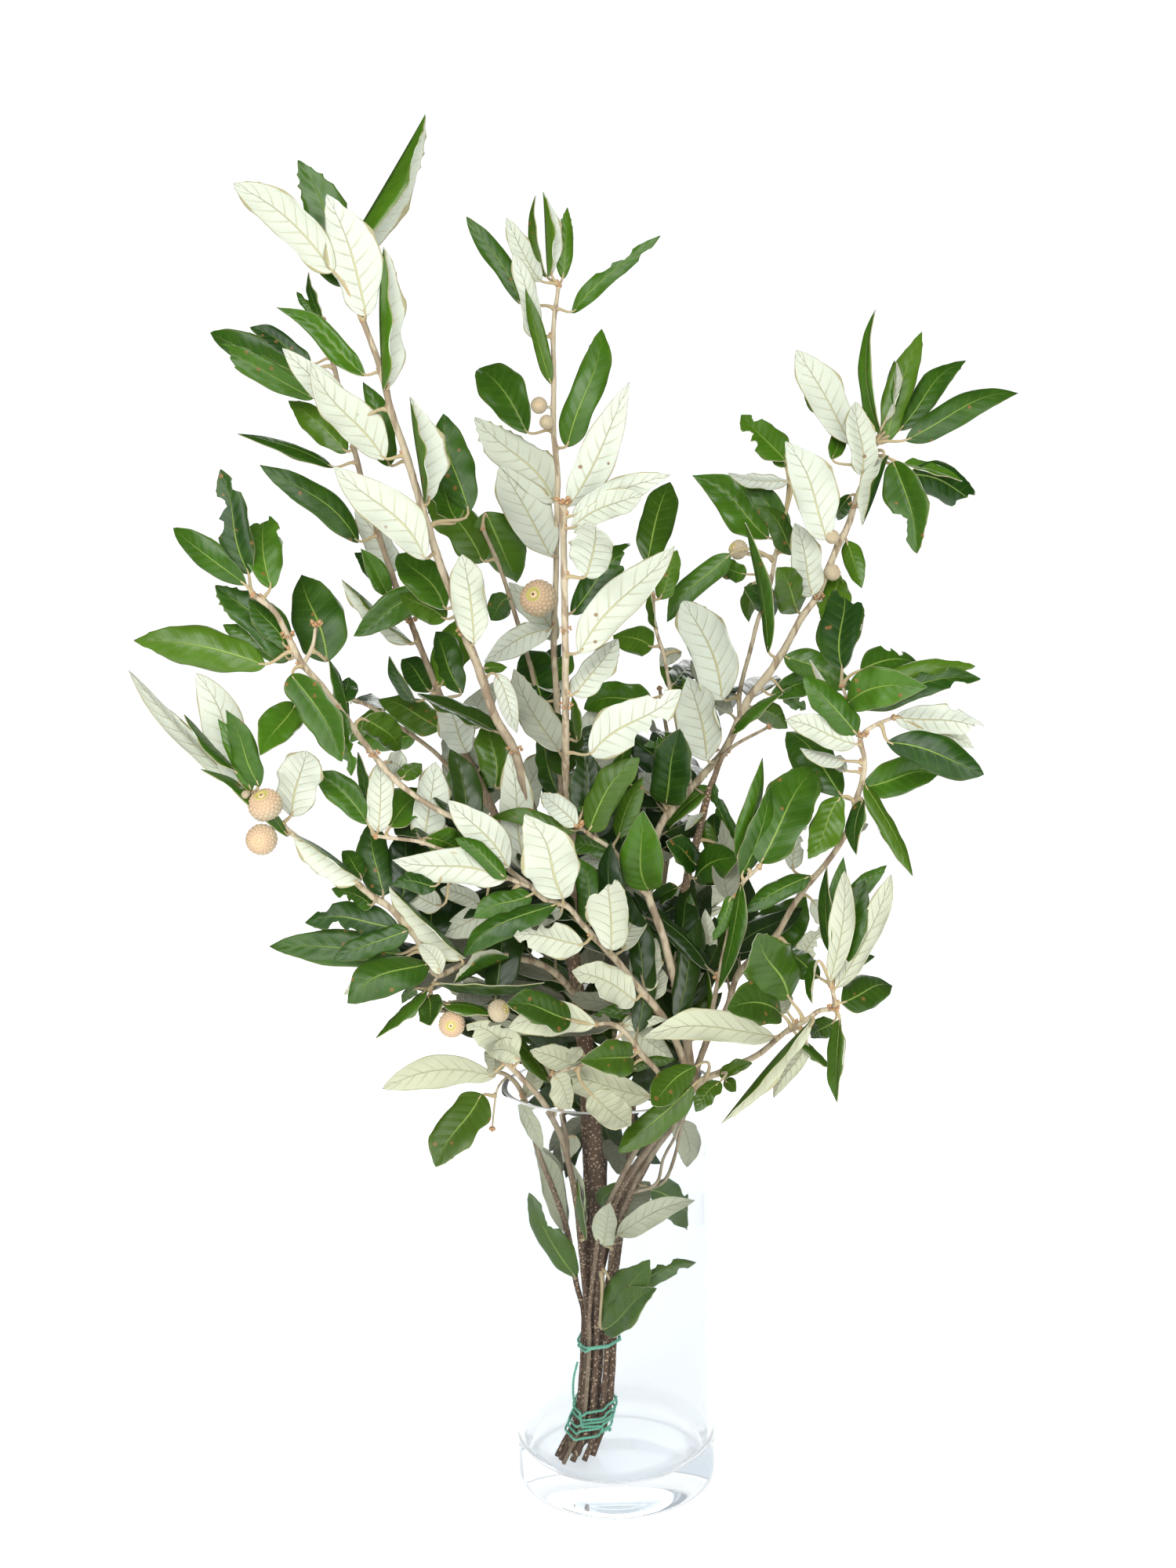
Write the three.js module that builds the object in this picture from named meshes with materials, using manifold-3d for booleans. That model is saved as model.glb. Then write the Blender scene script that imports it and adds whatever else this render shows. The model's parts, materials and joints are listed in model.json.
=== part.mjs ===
// Holm oak branches tied with twine and standing in a clear glass vase.
// Millimetres, +Z up, origin at the middle of the vase's flat underside, front along -Y.
import * as THREE from 'three';
import Module from 'manifold-3d';
import { mergeVertices } from 'three/addons/utils/BufferGeometryUtils.js';

const wasm = await Module();
wasm.setup();

// ---- driving dimensions ----
const VASE_HEIGHT = 200;
const VASE_FOOT_RADIUS = 49.4;     // outside radius just above the rounded foot
const VASE_RIM_RADIUS = 52.8;      // outside radius under the rounded rim
const VASE_WALL = 3.1;
const VASE_FLOOR = 15;             // thick glass base
const VASE_SIDES = 28;
const LEAF_THICKNESS = 1.2;
const GAP = 0.35;                  // clearance kept between separate pieces
const TWINE = 1.3;                 // thickness of a tie around the bundle
const LOWER_TIE = { z: 33, height: 11 };
const UPPER_TIE = { z: 69, height: 3.6 };
const TABLE_EYE = new THREE.Vector3(-6, -765, 412);   // the tables are laid out on the plane y = 0 as seen from here

// Branch tables. foot: x and y where the stem passes the upper tie, its radius, and the height of its cut end.
// routes: x, z, depth y, radius. leaves: blade foot x z, tip x z, side turned to the front (g green, w felted),
// width, depth of the blade foot against the twig, depth of the tip against the foot, form
// (0 plain, 1 toothed, 2 bitten side, 3 bitten end, 4 folded, 5 edge on). cups: x, z, depth, diameter, way it faces.
const BRANCHES =
{
  "branch_centre": {
    "foot": [-8.5, 1, 4.6, 16.5],
    "routes": [
      [[-7.5,105,0,4.8],[-6.8,147,2,4.8],[-7.5,182,3,4.8],[-9,205,4,4.7],[-11,225,4,4.5],[-13.5,242,4,4.3],[-15,260,3,4],[-15.5,281,1,3.3],[-15,300,-3,2.8],[-14.3,322.5,-8,2.5],[-15.4,337.6,-12,2.4],[-16.7,356,-16,2.3],[-15.9,390,-24,2.1],[-15.3,424,-30,2],[-15,457.5,-34,1.9],[-14.7,486,-36,1.9]],
      [[-15.5,270,3,2.4],[-15.8,290,9,2.4],[-16.5,322,14,2.3],[-19,350,18,2.2],[-20,390,22,2.1],[-21,417,24,2],[-19,450,24,1.9],[-17.5,485,22,1.8],[-16.9,499,21,1.8],[-18.3,519,20,1.7],[-17.5,545,19,1.6],[-17,569,18,1.5],[-14,588,16,1.2]],
      [[-15,266,2,3],[-20,293,-6,2.9],[-28,320,-12,2.8],[-36,345,-16,2.7],[-42,367.5,-18,2.7],[-50.4,383,-19,2.6],[-56,401,-20,2.6],[-59.6,412,-20,2.5],[-64.8,425,-20,2.4],[-69.5,443,-20,2.4],[-74,455,-20,2.3],[-82,482,-19,2.2],[-90,512,-18,2.1],[-96,531,-18,2],[-100,550,-18,1.9],[-108,574,-18,1.6]],
      [[-13,240,0,2.2],[-20.5,251.8,-12,2.1],[-27.2,257.8,-17,2],[-36,262,-21,1.9],[-48.5,263.6,-25,1.9],[-69.2,261.5,-28,1.9],[-83,256.5,-30,2],[-92,274.3,-30,1.9],[-98.6,282.5,-30,1.9],[-105.1,290.5,-30,1.9],[-113.9,296.6,-30,1.9],[-124,306,-30,1.7],[-136,317,-30,1.6],[-150,327,-30,1.5],[-160,336,-30,1.4],[-172,350,-30,1.2]]
    ],
    "leaves": [
      [-21.5,460,-44.4,504,"w",21,-4,-6,0],[-18.4,486,-56,527,"w",20,3,4,2],[-11.4,484,18.6,542,"w",15,0,6,0],[-10.5,479,37.2,497.5,"w",9,-1,-10,5],[-11.2,473,23.4,489,"w",12,-4,-8,0],[-4.2,449.5,0.5,476,"w",18,-5,-2,3],[-12,432,20,463,"g",13,7,4,3],[-9,413,38.8,463.5,"w",16.5,-7,-10,0],[-11.5,392.5,10.3,419.5,"w",13,-2,2,0],[-21.9,425,-55,410,"w",12,-7,-6,4],[-19,420,-42,448,"w",14,4,6,0],[-29,393,-36,423,"g",18,6,6,0],[-22,373,-49,404,"w",9,-4,-6,5],[-10.5,370,-12.5,392,"g",5,8,2,5],[-4.4,363.5,40.7,394,"w",18.5,-10,-12,2],[-19.7,343,-29,375,"g",15,8,4,0],
      [-17.5,592,-18.5,632,"g",7,-1,-4,4],[-20,592,-24,630,"g",5,3,5,5],[-12,591,-9,624,"g",8,3,2,1],[-23,590,-38,620,"w",9.5,0,6,0],[-33,580,-57,621,"g",10,4,8,0],[-27,564,-35,604,"w",10.5,-4,-4,0],[-19,542,-30,587,"g",8,-2,-8,0],[-8,575,35,610,"g",8.5,2,6,2],[-12,512,6,567,"g",16,5,5,0],[-31,519,-53,550,"g",20,6,8,0],
      [-121,597,-167,639,"w",17,-2,8,0],[-117,590,-136,649,"g",18,8,6,1],[-106,576,-123,633,"w",20,-3,-4,0],[-103,592,-75,668,"g",15,5,6,4],[-93.5,542,-92,608,"g",12.5,-3,-5,4],[-108,548,-149,581,"g",10.5,5,8,0],[-100,508,-134,555,"w",17,-3,4,0],[-118,527,-147,562,"w",12,12,5,0],[-98,505,-109,545,"g",12,8,6,0],[-79,487,-84,538,"g",15,-3,-6,4],[-82,460,-125,506,"w",18.5,-8,-6,0],[-59.5,419,-64,462,"w",16.5,-4,-3,0],[-37,307,-44,366,"w",15,-6,-6,0],[-51.5,348,-54,383,"g",14,8,4,0],[-49,404,-40,375,"w",9,8,4,0],[-55,407,-44,407,"g",6,5,5,0],[-60,482,-71,529,"g",17,16,6,0],[-66,478,-77,498,"g",12,14,8,0],
      [-178,354,-228,410,"w",9,2,8,4],[-176,352,-195,408,"w",16,0,4,0],[-178,360,-202,388,"g",4,-4,-4,5],[-166.7,352,-181.5,389.8,"g",10,-5,-6,4],[-170.7,350,-185.5,385.4,"g",7,-2,0,4],[-154,327,-195,361,"g",6,-4,-5,5],[-151.6,337,-143,368.6,"w",17,2,-4,0],[-119.5,302.5,-153,326.5,"w",12,-6,-4,4],[-118,306,-127.4,319,"g",9,4,4,0],[-107.8,296.5,-112.7,333.5,"g",15,5,3,0],[-69.5,263,-106.5,299.5,"w",11,-7,-4,4],[-81,257,-91,272,"w",8,-8,-2,0],[-100,267,-165,272.6,"g",15,4,6,0],[-96.4,279,-133.8,265.5,"g",11,-4,-6,0],[-101,280,-147,284,"g",15,0,5,2],[-113.8,291.5,-133.3,300.5,"g",9,5,4,2],[-86.5,262,-127.6,243.3,"g",18,-4,-8,0],[-100,264,-129.4,247.7,"w",11,5,0,0],[-88,249,-114.2,225.3,"g",6,-3,-4,5],[-94,250,-100.8,242.5,"g",5,4,2,0],[-87.8,246,-87,230.9,"g",11,0,-4,0],[-48,266,-75.7,254,"g",9,-7,-6,4],[-82,252,-30,251,"g",5,-6,0,5],[-80,241,-56,235,"g",6,-8,-2,5]
    ],
    "cups": [[-27.6,441,-12,16,"f"],[-25,532,-8,8,"l"],[-21.5,524,-8,6,"r"],[-164.3,342.8,-6,14.5,"u"],[-167.9,325.2,-9,14.5,"f"],[-76.4,231.4,-10,12.5,"f"],[-53,237.5,-10,10,"r"],[-174,348,-6,5,"l"]]
  },
  "branch_left_back": {
    "foot": [-13, 7, 2.3, 16.5],
    "routes": [
      [[-12.5,105,9,2.4],[-11.5,150,13,2.5],[-12,200,16,2.6],[-14,240,17,2.6],[-17,262,18,2.6],[-22,280,19,2.6],[-33,300,21,2.6],[-44,318,23,2.6],[-54.7,341.5,26,2.6],[-65.7,365.5,28,2.4],[-77,394,30,2.2],[-84,413,31,2.1],[-90,430,32,2],[-97,449,33,2],[-111,498,35,1.8],[-114,512,36,1.7],[-121,545,37,1.6],[-127,575,38,1.3]],
      [[-53,337,26,1.7],[-66,350,34,1.6],[-81,367,40,1.5],[-100,381.5,44,1.4],[-111,389.5,46,1.3],[-124,395.5,48,1.2]],
      [[-17,256,18,1.9],[-20,300,28,1.8],[-25,360,33,1.7],[-31,400,33,1.6],[-40,435,32,1.5],[-46,455,31,1.4],[-53.7,474,30,1.3]]
    ],
    "leaves": [
      [-140,550,-181,570,"g",14,3,6,0],[-134,554,-162,572,"g",10,6,6,0],[-133,538,-177,563,"g",12,-3,-4,3],[-118,512,-145,537,"g",14,3,5,0],[-126,572,-133,597,"g",5,2,2,5],[-130,576,-139,588,"g",5,5,4,2],[-125,505,-170,522,"g",7,-2,-6,5],[-114,469,-160,507,"g",14,-4,-6,0],[-98,454,-115,485,"w",14,4,6,0],[-100,443,-113,466,"g",10,-3,-4,0],[-81,443,-118,424,"g",15,-8,-10,0],[-91,419,-124,450,"w",10,-5,-4,4],[-89,391,-101,414,"g",7,-4,-2,5],[-77,378,-107,393,"g",16,-3,4,0],[-64.7,366,-79,394,"w",15,-10,-6,0],[-66,395,-78,425,"g",15,-5,2,0],[-66,364,-70,342,"g",12,5,3,0],[-50,481,-42,448,"g",15,-2,0,0],[-53,457,-78,480,"g",13,-4,4,0],[-42,441,-51,430,"g",12,-2,2,0],[-90,375,-118,372,"g",13,3,6,0],[-105,388,-122,372,"g",10,4,4,0],[-60,350,-40,362,"g",11,6,8,0],[-30,395,-12,412,"g",12,6,10,0],[-14,250,-42,252,"g",16,4,12,0],[-16,262,12,268,"g",16,8,14,0]
    ],
    "cups": []
  },
  "branch_right_tall": {
    "foot": [-0.6, -1, 3, 16.5],
    "routes": [
      [[1,110,-2,3],[2.5,131,-3,3],[10,150,-6,3],[21,167,-9,3],[30.5,178,-11,3],[38,188,-12,3],[41,199,-13,3],[41.3,208,-14,3],[38.3,229.5,-18,2.9],[35.2,246.6,-21,2.8],[32.1,260,-23,2.7],[29.5,271.8,-25,2.7],[25.7,283,-26,2.6],[22,295,-24,2.6],[22.5,306,-18,2.6],[28.7,327,-8,2.6],[34.5,335,-5,2.6],[42.6,343.5,-2,2.6],[50.7,352.5,0,2.6],[59.9,362.5,2,2.6],[67.4,376,4,2.6],[73.7,389.5,5,2.6],[82.7,400,6,2.7],[90.5,411.5,7,2.6],[100,428,8,2.4],[107,437,8,2.4],[113,451,8,2.4],[117,460,8,2.4],[123,472,8,2.3],[126,481,8,2.2],[132,496,8,2.2],[136,510,8,2]],
      [[22.5,293,-25,2],[15.9,299.8,-30,1.8],[10.5,309.8,-34,1.6],[4.5,317,-37,1.5],[-4.4,323,-40,1.3],[-11.6,329,-42,1.2]],
      [[44,345,-1,1.6],[41,362,5,1.5],[38,378,9,1.4],[35,395,11,1.3],[32.3,411.5,11,1.3],[28.7,424,10,1.2],[27.5,440,9,1.1]],
      [[68.5,378,5,1.7],[69,392,14,1.6],[75,414,21,1.5],[78.5,427,23,1.5],[84,441,24,1.5],[88,460,25,1.4],[92,475,26,1.3]]
    ],
    "leaves": [
      [124,510,99,555,"w",17,-2,6,0],[130,495,127,530,"w",13,-4,-3,0],[139,514,137,573,"g",5,-1,3,5],[141,510,159,562,"g",13,4,5,0],[141,520,147,548,"w",5.5,2,0,5],[143,520,146,549,"g",5,6,3,5],[148,516,180,548,"g",10.5,6,8,0],[151,511,205,532,"g",13.5,0,8,0],[145,501,156,457,"g",17,-7,-10,2],[150,500,178,491,"g",6,4,2,5],[153,495,183.5,481,"g",17,2,4,3],[141,505,128,472,"w",10,-9,-8,4],[115,503,122,517,"g",8,4,3,0],[115,522,102.5,534,"g",7,8,4,2],
      [112,465,93,512,"w",20.5,-6,-6,0],[105,438,97,473,"w",14.5,-5,0,0],[122,464,129,441,"g",10,3,-2,0],[117,449,112,426,"g",11.5,4,2,0],[83,411,73,474,"g",7,-6,-8,5],[60.8,388.5,42.2,437,"w",24,-10,-8,0],[52.6,359,43.8,400.5,"w",22.5,-8,-2,0],[91,409,125,392,"g",14,-3,-6,0],[65,372,90,391,"g",6,-5,-8,5],[84,390,108,398,"g",12,5,6,0],[76,384,92,374,"g",12,3,2,0],[90,392,101,383,"g",8,4,4,2],
      [93,503,72,525,"g",10,3,4,2],[93,500,86,517,"g",7,6,4,0],[94,493,65,497.5,"w",8,-3,-4,5],[84,466,48,497,"g",18,5,6,0],[96,458,79,482,"g",9.5,-7,-8,4],[94,469,71.5,496,"g",12,2,4,0],[65.4,459,34.3,427,"g",14,-4,-5,0],[73,449,58,452,"g",10,3,3,0],[76,445,74,426,"g",9,3,2,0],
      [25.4,455.5,37.1,494,"g",18.5,2,5,0],[31.2,438,39.9,461.5,"g",10,3,3,0],[29.2,424,27,443,"g",4,-2,0,5],[27,415,8,421,"g",15,2,4,0],[43,391,30.4,406,"g",12,3,4,0],[41,412.5,30.5,406,"w",8,2,2,0],[26,390,-7,386,"g",16,3,6,0],[31.9,338.5,39.5,375,"g",19,-5,-3,0],[20,361,38,372,"g",8,2,4,2],[9,355,15,370.5,"g",8,4,2,0],[27,343,19,354,"w",9,-3,0,0],
      [-12,329,-29,345,"w",10,-2,-3,1],[-12.5,326,-55.5,333,"g",8,4,6,0],[4.4,314.6,-18.6,320,"g",9,5,4,0],[10,309,-12,312,"w",10,3,2,0],[-9,335,-3.8,361.6,"g",14,2,3,0],[-6.3,326,19.4,361.5,"g",15,-4,-4,0],[8,322,21,352,"g",10,4,3,0],[22.5,296,20.7,335.5,"g",19,-8,-8,0],[36,257,25,287,"g",13,6,4,0],[33,245,49,254,"w",8,2,4,5],[42.7,220.5,49,244.7,"g",9,5,3,0],[50,222,50,258,"g",3,3,4,5],
      [6,133,23,148,"w",12,4,3,0],[-5,74.5,19,109,"g",15,-8,-5,0]
    ],
    "cups": [[115,466,-6,7,"u"],[115,449,-6,8,"r"],[69.5,461,4,10,"l"]]
  },
  "branch_right_dark": {
    "foot": [-7.6, 8.3, 1.9, 16.5],
    "routes": [
      [[-5,105,9,2],[4,135,10,2.1],[16,160,8,2.2],[30,180,4,2.3],[38,197,2,2.4],[40.5,222,3,2.5],[38,240,3,2.5],[36,262,2,2.5],[37,282,1,2.6],[40,292.5,0,2.6],[43.1,308.5,-2,2.5],[47.3,322,-5,2.4],[50.4,334.5,-8,2.3],[55.5,350,-10,2],[62,363,-10,1.3],[83,375,-8,0.9]]
    ],
    "leaves": [
      [45.4,300.6,67.1,311,"g",15,-6,-6,0],[46.6,307.5,31.7,319.8,"g",12,-4,-3,0],[54,346,31,324,"g",9,3,4,5],[50,333,41,325,"w",4,-4,-3,5],[55.8,311,55.6,333,"g",9,3,2,4],[50,330,54,310,"g",7,3,3,0],[64.3,316,55.9,348,"g",7,-3,0,2],[44,256,43,294,"g",11,-4,0,0],[37,297,24,290,"g",8,2,3,0],[51.5,260.6,50.3,286,"w",8,-5,-4,0]
    ],
    "cups": []
  },
  "branch_right_mid": {
    "foot": [-2.5, 5.6, 2.4, 27],
    "routes": [
      [[1,105,5,2.4],[6,132,4,2.4],[17,155,0,2.4],[27,172,-3,2.4],[36,185,-4,2.4],[42,198,-4,2.5],[46,210,-5,2.5],[51.6,223.5,-6,2.5],[60,236,-8,2.4],[65,251,-9,2.4],[72,260,-9,2.3],[85,272,-9,2.3],[92,284,-10,2.2],[99.5,295,-11,2.2],[110.9,308,-13,2.1],[120.7,323,-15,2],[125.9,340,-16,1.9],[128.9,350,-16,1.8],[129.5,358,-17,1.7],[127.9,369,-17,1.7],[135,374.5,-17,1.4],[144,378,-16,1]],
      [[128,368,-16,1.4],[122,385,-10,1.2],[119,394,-8,1]],
      [[49,216,-6,1.8],[52,232,-12,1.8],[56,250,-16,1.7],[60,268,-18,1.6],[64,285,-19,1.5],[68,297,-19,1.4],[77,306,-18,1.1]]
    ],
    "leaves": [
      [128,401.5,157,403,"g",13,-2,4,2],[119,402,120.5,441,"g",18,5,5,3],[121.5,385.5,160.4,392.4,"g",17,-3,-6,0],[126,389,183.8,402,"g",9,4,8,1],[123,384,186.5,395.6,"g",12,1,6,2],[125.7,370.2,100,399,"g",13,-4,-4,0],[125,371,103.5,407,"w",5,1,3,5],[125,365,91,378,"w",12,-4,-6,0],[120,357,98,364,"w",7,2,2,5],[145,378,188,371,"w",13,-1,6,3],[160,371,183,362,"w",8,4,8,0],[140.6,366,187.8,349,"g",16,-4,-8,4],[128,344,165,349,"g",16,4,5,0],[129.4,345.5,152.5,299.7,"g",9,-4,-6,5],[128.8,338,125,311,"g",8,-3,-5,4],[124,322,131,326,"w",4,3,2,0],[117.5,340,101.3,309.5,"g",12,-3,-6,4],[118,340,91.6,372,"g",20,9,5,0],[120.5,352,111.5,359,"w",6,3,3,0],
      [78,308,105.6,354.5,"g",22,-2,4,0],[66,311,79.5,359.7,"g",9,4,5,5],[68,302,82.9,345.4,"g",10,0,3,4],[68,297.7,55.8,244.9,"g",8,-5,-6,5],[63,292,54,270,"g",7,-2,-2,2],[102,301,69,283,"g",10,-4,-8,4],[80,266,100,291,"g",23,3,3,0],[93,304.5,100.4,331,"w",9,3,4,2],[97,258,110,276,"w",9,5,5,2],[103,289,110,277,"w",9,3,3,2],
      [22,143,43,127,"g",12,5,3,2]
    ],
    "cups": []
  },
  "branch_right_low": {
    "foot": [-3.6, -6.3, 2, 16.5],
    "routes": [
      [[-1,105,-8,2],[4.5,131,-12,2],[13,150,-16,2],[24,167,-19,2.1],[33,179,-20,2.2],[39,189,-20,2.2],[42.5,195,-20,2.2],[47.8,200,-20,2.2],[57.1,204,-21,2.2],[66.2,208,-23,2.1],[75.6,212.5,-26,2],[87.2,222,-30,1.8],[93,225.6,-32,1.8],[99.8,229.3,-34,1.7],[105.6,233.5,-35,1.6],[112.9,235.2,-36,1.6],[112,246,-35,1.2]]
    ],
    "leaves": [
      [111.5,248,119,303,"w",9,-3,-6,4],[112,262,110.5,305.5,"g",6,4,2,5],[117,268,118.7,310,"g",9,5,4,0],[118,282,139.8,305.3,"g",8,8,5,0],[117,256,129,298,"g",12,2,3,0],[115,245,142,300.6,"w",11,-3,-5,4],[120,255,133.5,260,"g",5,5,4,0],[117,237,142,245,"g",15,-2,4,0],[104.7,259,102.2,237.3,"g",4,-4,-3,5],[116,229,114,187,"g",7,-2,-6,4],[113.5,228,101.6,220,"g",10,3,2,0],[103,228,57.5,176.5,"w",8,-5,-10,4],[99.6,217.5,82.5,190,"w",8,1,-4,0],[94,222,111.9,204,"g",4,0,3,5],[86.7,232.6,59.9,235.5,"g",17,-4,-5,0],[90,233,85,245,"w",10,3,3,0],[91,240,76,273,"g",21,-3,-4,0],[106,250,88,262,"g",12,3,4,0],[83,221,18,222,"w",14,-8,-12,0],[56,202,72.2,208,"g",6,-5,-6,0],[58.2,200,63.8,193.7,"g",6,-4,-4,0],[55.9,199,43.5,184,"g",8,-28,-9,0],[43.8,207,21.8,188,"g",13,-30,-10,0],[42,197,4.5,164,"g",14,-33,-8,0],
      [-4,117,-1,139,"w",12.5,-6,-2,2],[3,121,42,139,"w",9,-3,-2,0],[37,176,38.5,157,"w",10,2,2,0]
    ],
    "cups": []
  },
  "branch_left_front": {
    "foot": [-8.6, -6.6, 2.3, 16.5],
    "routes": [
      [[-6,105,-9,2.3],[-1,131,-15,2.4],[8,150,-21,2.4],[20,167,-26,2.5],[30,180,-28,2.5],[36,193,-28,2.5],[39,205,-28,2.5],[36,216,-30,2.5],[30.3,228.6,-31,2.5],[23.7,238.8,-33,2.5],[17,246.7,-35,2.4],[9.3,257,-37,2.3],[3.2,264.3,-39,2.2],[-3.4,271.6,-40,2],[-10.6,280,-42,1.9],[-17.8,289,-43,1.8],[-28.5,292.5,-44,1.8],[-35,299,-44,1.8],[-45,307,-44,1.8],[-55,318,-44,1.9],[-67.5,331.5,-44,1.9],[-78.7,337.5,-44,1.9],[-89.8,344.8,-43,1.9],[-100.7,353.8,-43,1.9],[-111.5,367.5,-42,2],[-117,375,-42,2],[-128.5,392,-41,2],[-135,401,-41,2],[-143.5,411.5,-40,2],[-150,425,-40,2],[-156,437,-40,1.9],[-166,445,-40,1.6]],
      [[-34,298,-44,1.5],[-45,303,-48,1.5],[-56,308,-49,1.4],[-68,315,-48,1.4],[-79.7,319,-46,1.3],[-89.2,322.7,-44,1.3],[-101.6,324.7,-42,1.2],[-110.7,326,-40,1.2]],
      [[-143,411,-40,1.5],[-138,420,-38,1.3],[-136,430,-37,1.2]]
    ],
    "leaves": [
      [-169,450,-203,478,"g",11,0,5,0],[-167.5,455,-179,505.5,"g",13,4,5,2],[-157,448,-159,482,"g",15.5,3,2,3],[-161.5,411,-224.6,424.5,"g",18,-2,4,2],[-150,413,-184,450,"g",16,4,4,1],[-150,413,-181,431,"g",10,7,4,0],[-151,419,-168,443,"g",10,2,2,0],[-131,412,-142,454,"g",22,9,6,0],[-149,406,-126,363,"g",14.5,-5,-8,0],[-147,392,-166,367,"g",15,3,-2,0],[-124,392,-121,404,"g",10,4,2,0],[-122,383,-130.5,413,"g",6,4,2,5],[-126.4,388.5,-121.6,356,"g",8,-4,-4,2],[-113.8,384,-97.5,366.8,"g",14,7,3,0],[-103.5,363,-94,356,"w",11,5,2,0],[-97,354,-87,361,"g",8,4,3,0],
      [-19.4,293,-37.4,335,"w",21,-5,-6,0],[-23,290,-69.6,265.5,"g",12,-4,-10,0],[-20,287,-32,279,"w",7,3,2,0],[-10.3,269.2,-44.3,275,"w",14,-6,-6,2],[3.6,266.5,2,303,"w",18,-7,-5,3],[18.7,246,25.5,272,"w",14,3,3,0],[9.5,266,17.9,284.5,"w",12,6,4,0],[24,241,27,257,"w",9,6,4,0],[14.4,240.4,-16,256.7,"w",17,-6,-8,2],[26,233,-6,234,"g",8,5,3,0],[-5.5,280,-11.5,312.5,"g",12,7,4,0],
      [-113.9,332,-139.4,358,"g",12,3,5,0],[-109.4,328,-107.2,363.5,"w",12,4,4,0],[-111,330,-115,367.6,"g",6,7,4,5],[-103.7,330.5,-84,348.7,"g",15,4,5,0],[-87.6,322.7,-80.3,361.8,"w",15,12,8,0],[-86,325,-66,318,"g",12,4,5,0],[-48,302.6,-103,314,"w",17,-4,-5,3],[-82,300,-104,301.5,"g",8,-8,-4,0],[-46,309,-75,343,"w",17,-7,-3,0],[-47.4,303.7,-72.1,324,"g",9,-7,-5,1],[-35.2,295,-64,284.6,"g",11,-3,-4,0],[-48,285.5,-81.3,276.7,"w",13,16,6,0],[-60,290,-80,299,"w",9,14,6,0],[-80,290,-101,299,"w",11,14,4,0],
      [-8,75,19,93,"g",14,-5,-6,0],[0,92,40,106,"g",7,-4,3,0]
    ],
    "cups": []
  },
  "branch_rim_left": {
    "foot": [-13.6, -5.2, 1.7, 16.5],
    "routes": [
      [[-15,111,-8,1.8],[-17,139,-13,1.9],[-20,157.5,-18,1.9],[-23.2,171.8,-22,1.9],[-28,183,-26,1.9],[-33.1,192,-29,1.9],[-39.7,200,-32,1.8],[-47.5,208.5,-35,1.6],[-52,213,-36,1.3]]
    ],
    "leaves": [
      [-45,214,-69,231,"w",14,-3,-3,2],[-56,206,-57,222,"w",9,-1,2,0],[-43,213,-57,217,"w",10,-5,-4,0],[-29,201,-54,231,"w",8,-8,-5,4]
    ],
    "cups": []
  },
  "branch_rim_outer": {
    "foot": [-15.3, -1.4, 1.8, 16.5],
    "routes": [
      [[-18,97,-2,1.8],[-22,125,-4,1.8],[-28,145,-6,1.8],[-34.5,163,-8,1.7],[-38.5,180,-10,1.7],[-42,194,-12,1.6],[-46.5,202,-14,1.5],[-52,206,-16,1.4],[-56,207,-17,1.2]],
      [[-50,205,-15,1],[-54.5,199,-20,0.9],[-56.5,188,-21,0.9],[-57,180,-21,0.9]]
    ],
    "leaves": [
      [-55.7,204.5,-112,199.7,"w",15,-2,4,0],[-62.8,195.7,-86.9,159.2,"g",19,-6,-10,3],[-41.5,193,-30,219,"w",8,4,2,0],
      [-18.5,101,-40.5,145,"g",12.5,-3,-5,2],[-23,126,-38,170,"w",10,6,4,0]
    ],
    "cups": []
  },
  "branch_centre_low": {
    "foot": [-12.4, -8.8, 1.4, 16.5],
    "routes": [
      [[-9,105,-13,1.5],[-4,131,-20,1.5],[6,152,-27,1.6],[17,172,-33,1.7],[25,186,-37,1.7],[29,196,-39,1.7],[25.6,204,-41,1.7],[17.1,214,-43,1.6],[9.3,225,-45,1.5],[3,229.5,-46,1.4],[-5,229.5,-46,1]],
      [[9.3,225,-45,1.1],[-6,212,-48,1],[-20,207,-49,1],[-27,205,-49,0.9]]
    ],
    "leaves": [
      [-5.1,229.5,-48.5,229,"w",12,-2,-6,0],[-17.6,232,-49,241,"g",14,-7,-6,0],[13,212.5,-13.5,211,"g",13,-4,-4,0],[-13.2,205.8,-38.3,217.2,"w",11,3,4,0],[21.5,195,-26,204,"w",12,-3,-3,0],[-8.3,194,11,178,"w",15,-8,-5,0],[-25.8,203.5,-20.5,189,"w",10,-4,-3,0]
    ],
    "cups": []
  }
}
;

// How far each route swings back (+) or forward (-): the first number counts for every 100 mm above the rim,
// the others for every 100 mm along that side twig.
const LEAN = {
  branch_centre: [-10, 24, 2, -12], branch_left_back: [12, 8, -6], branch_right_tall: [12, -20, 6, 14], branch_right_dark: [15],
  branch_right_mid: [-15, 10, -8], branch_right_low: [-40], branch_left_front: [-12, -10, 10],
};
// Young growth on the far side of the bunch: start route number and leaf count of each bare back stem.
const BACK_STEMS = {
  branch_back_right: { foot: [-2.2, 10.8, 2, 16.5], routes: [[[2,105,16,2.1],[8,150,24,2.2],[14,200,34,2.2],[22,250,50,2.1],[30,300,64,1.9],[36,345,76,1.6],[30,395,86,1.2]]], count: 15, first: 3 },
  branch_back_left: { foot: [-12, 11.6, 1.8, 16.5], routes: [[[-13,105,17,1.9],[-18,150,25,2],[-26,200,33,2],[-38,250,50,1.9],[-52,290,66,1.7],[-62,325,78,1.5],[-72,355,88,1.1]]], count: 14, first: 41 },
  branch_back_low: { foot: [-7, 12.9, 1.8, 16.5], routes: [[[-5,105,18,1.9],[-3,150,28,2],[0,200,37,2],[6,236,54,1.9],[12,262,74,1.7],[16,286,94,1.1]]], count: 11, first: 83 },
};
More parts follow.
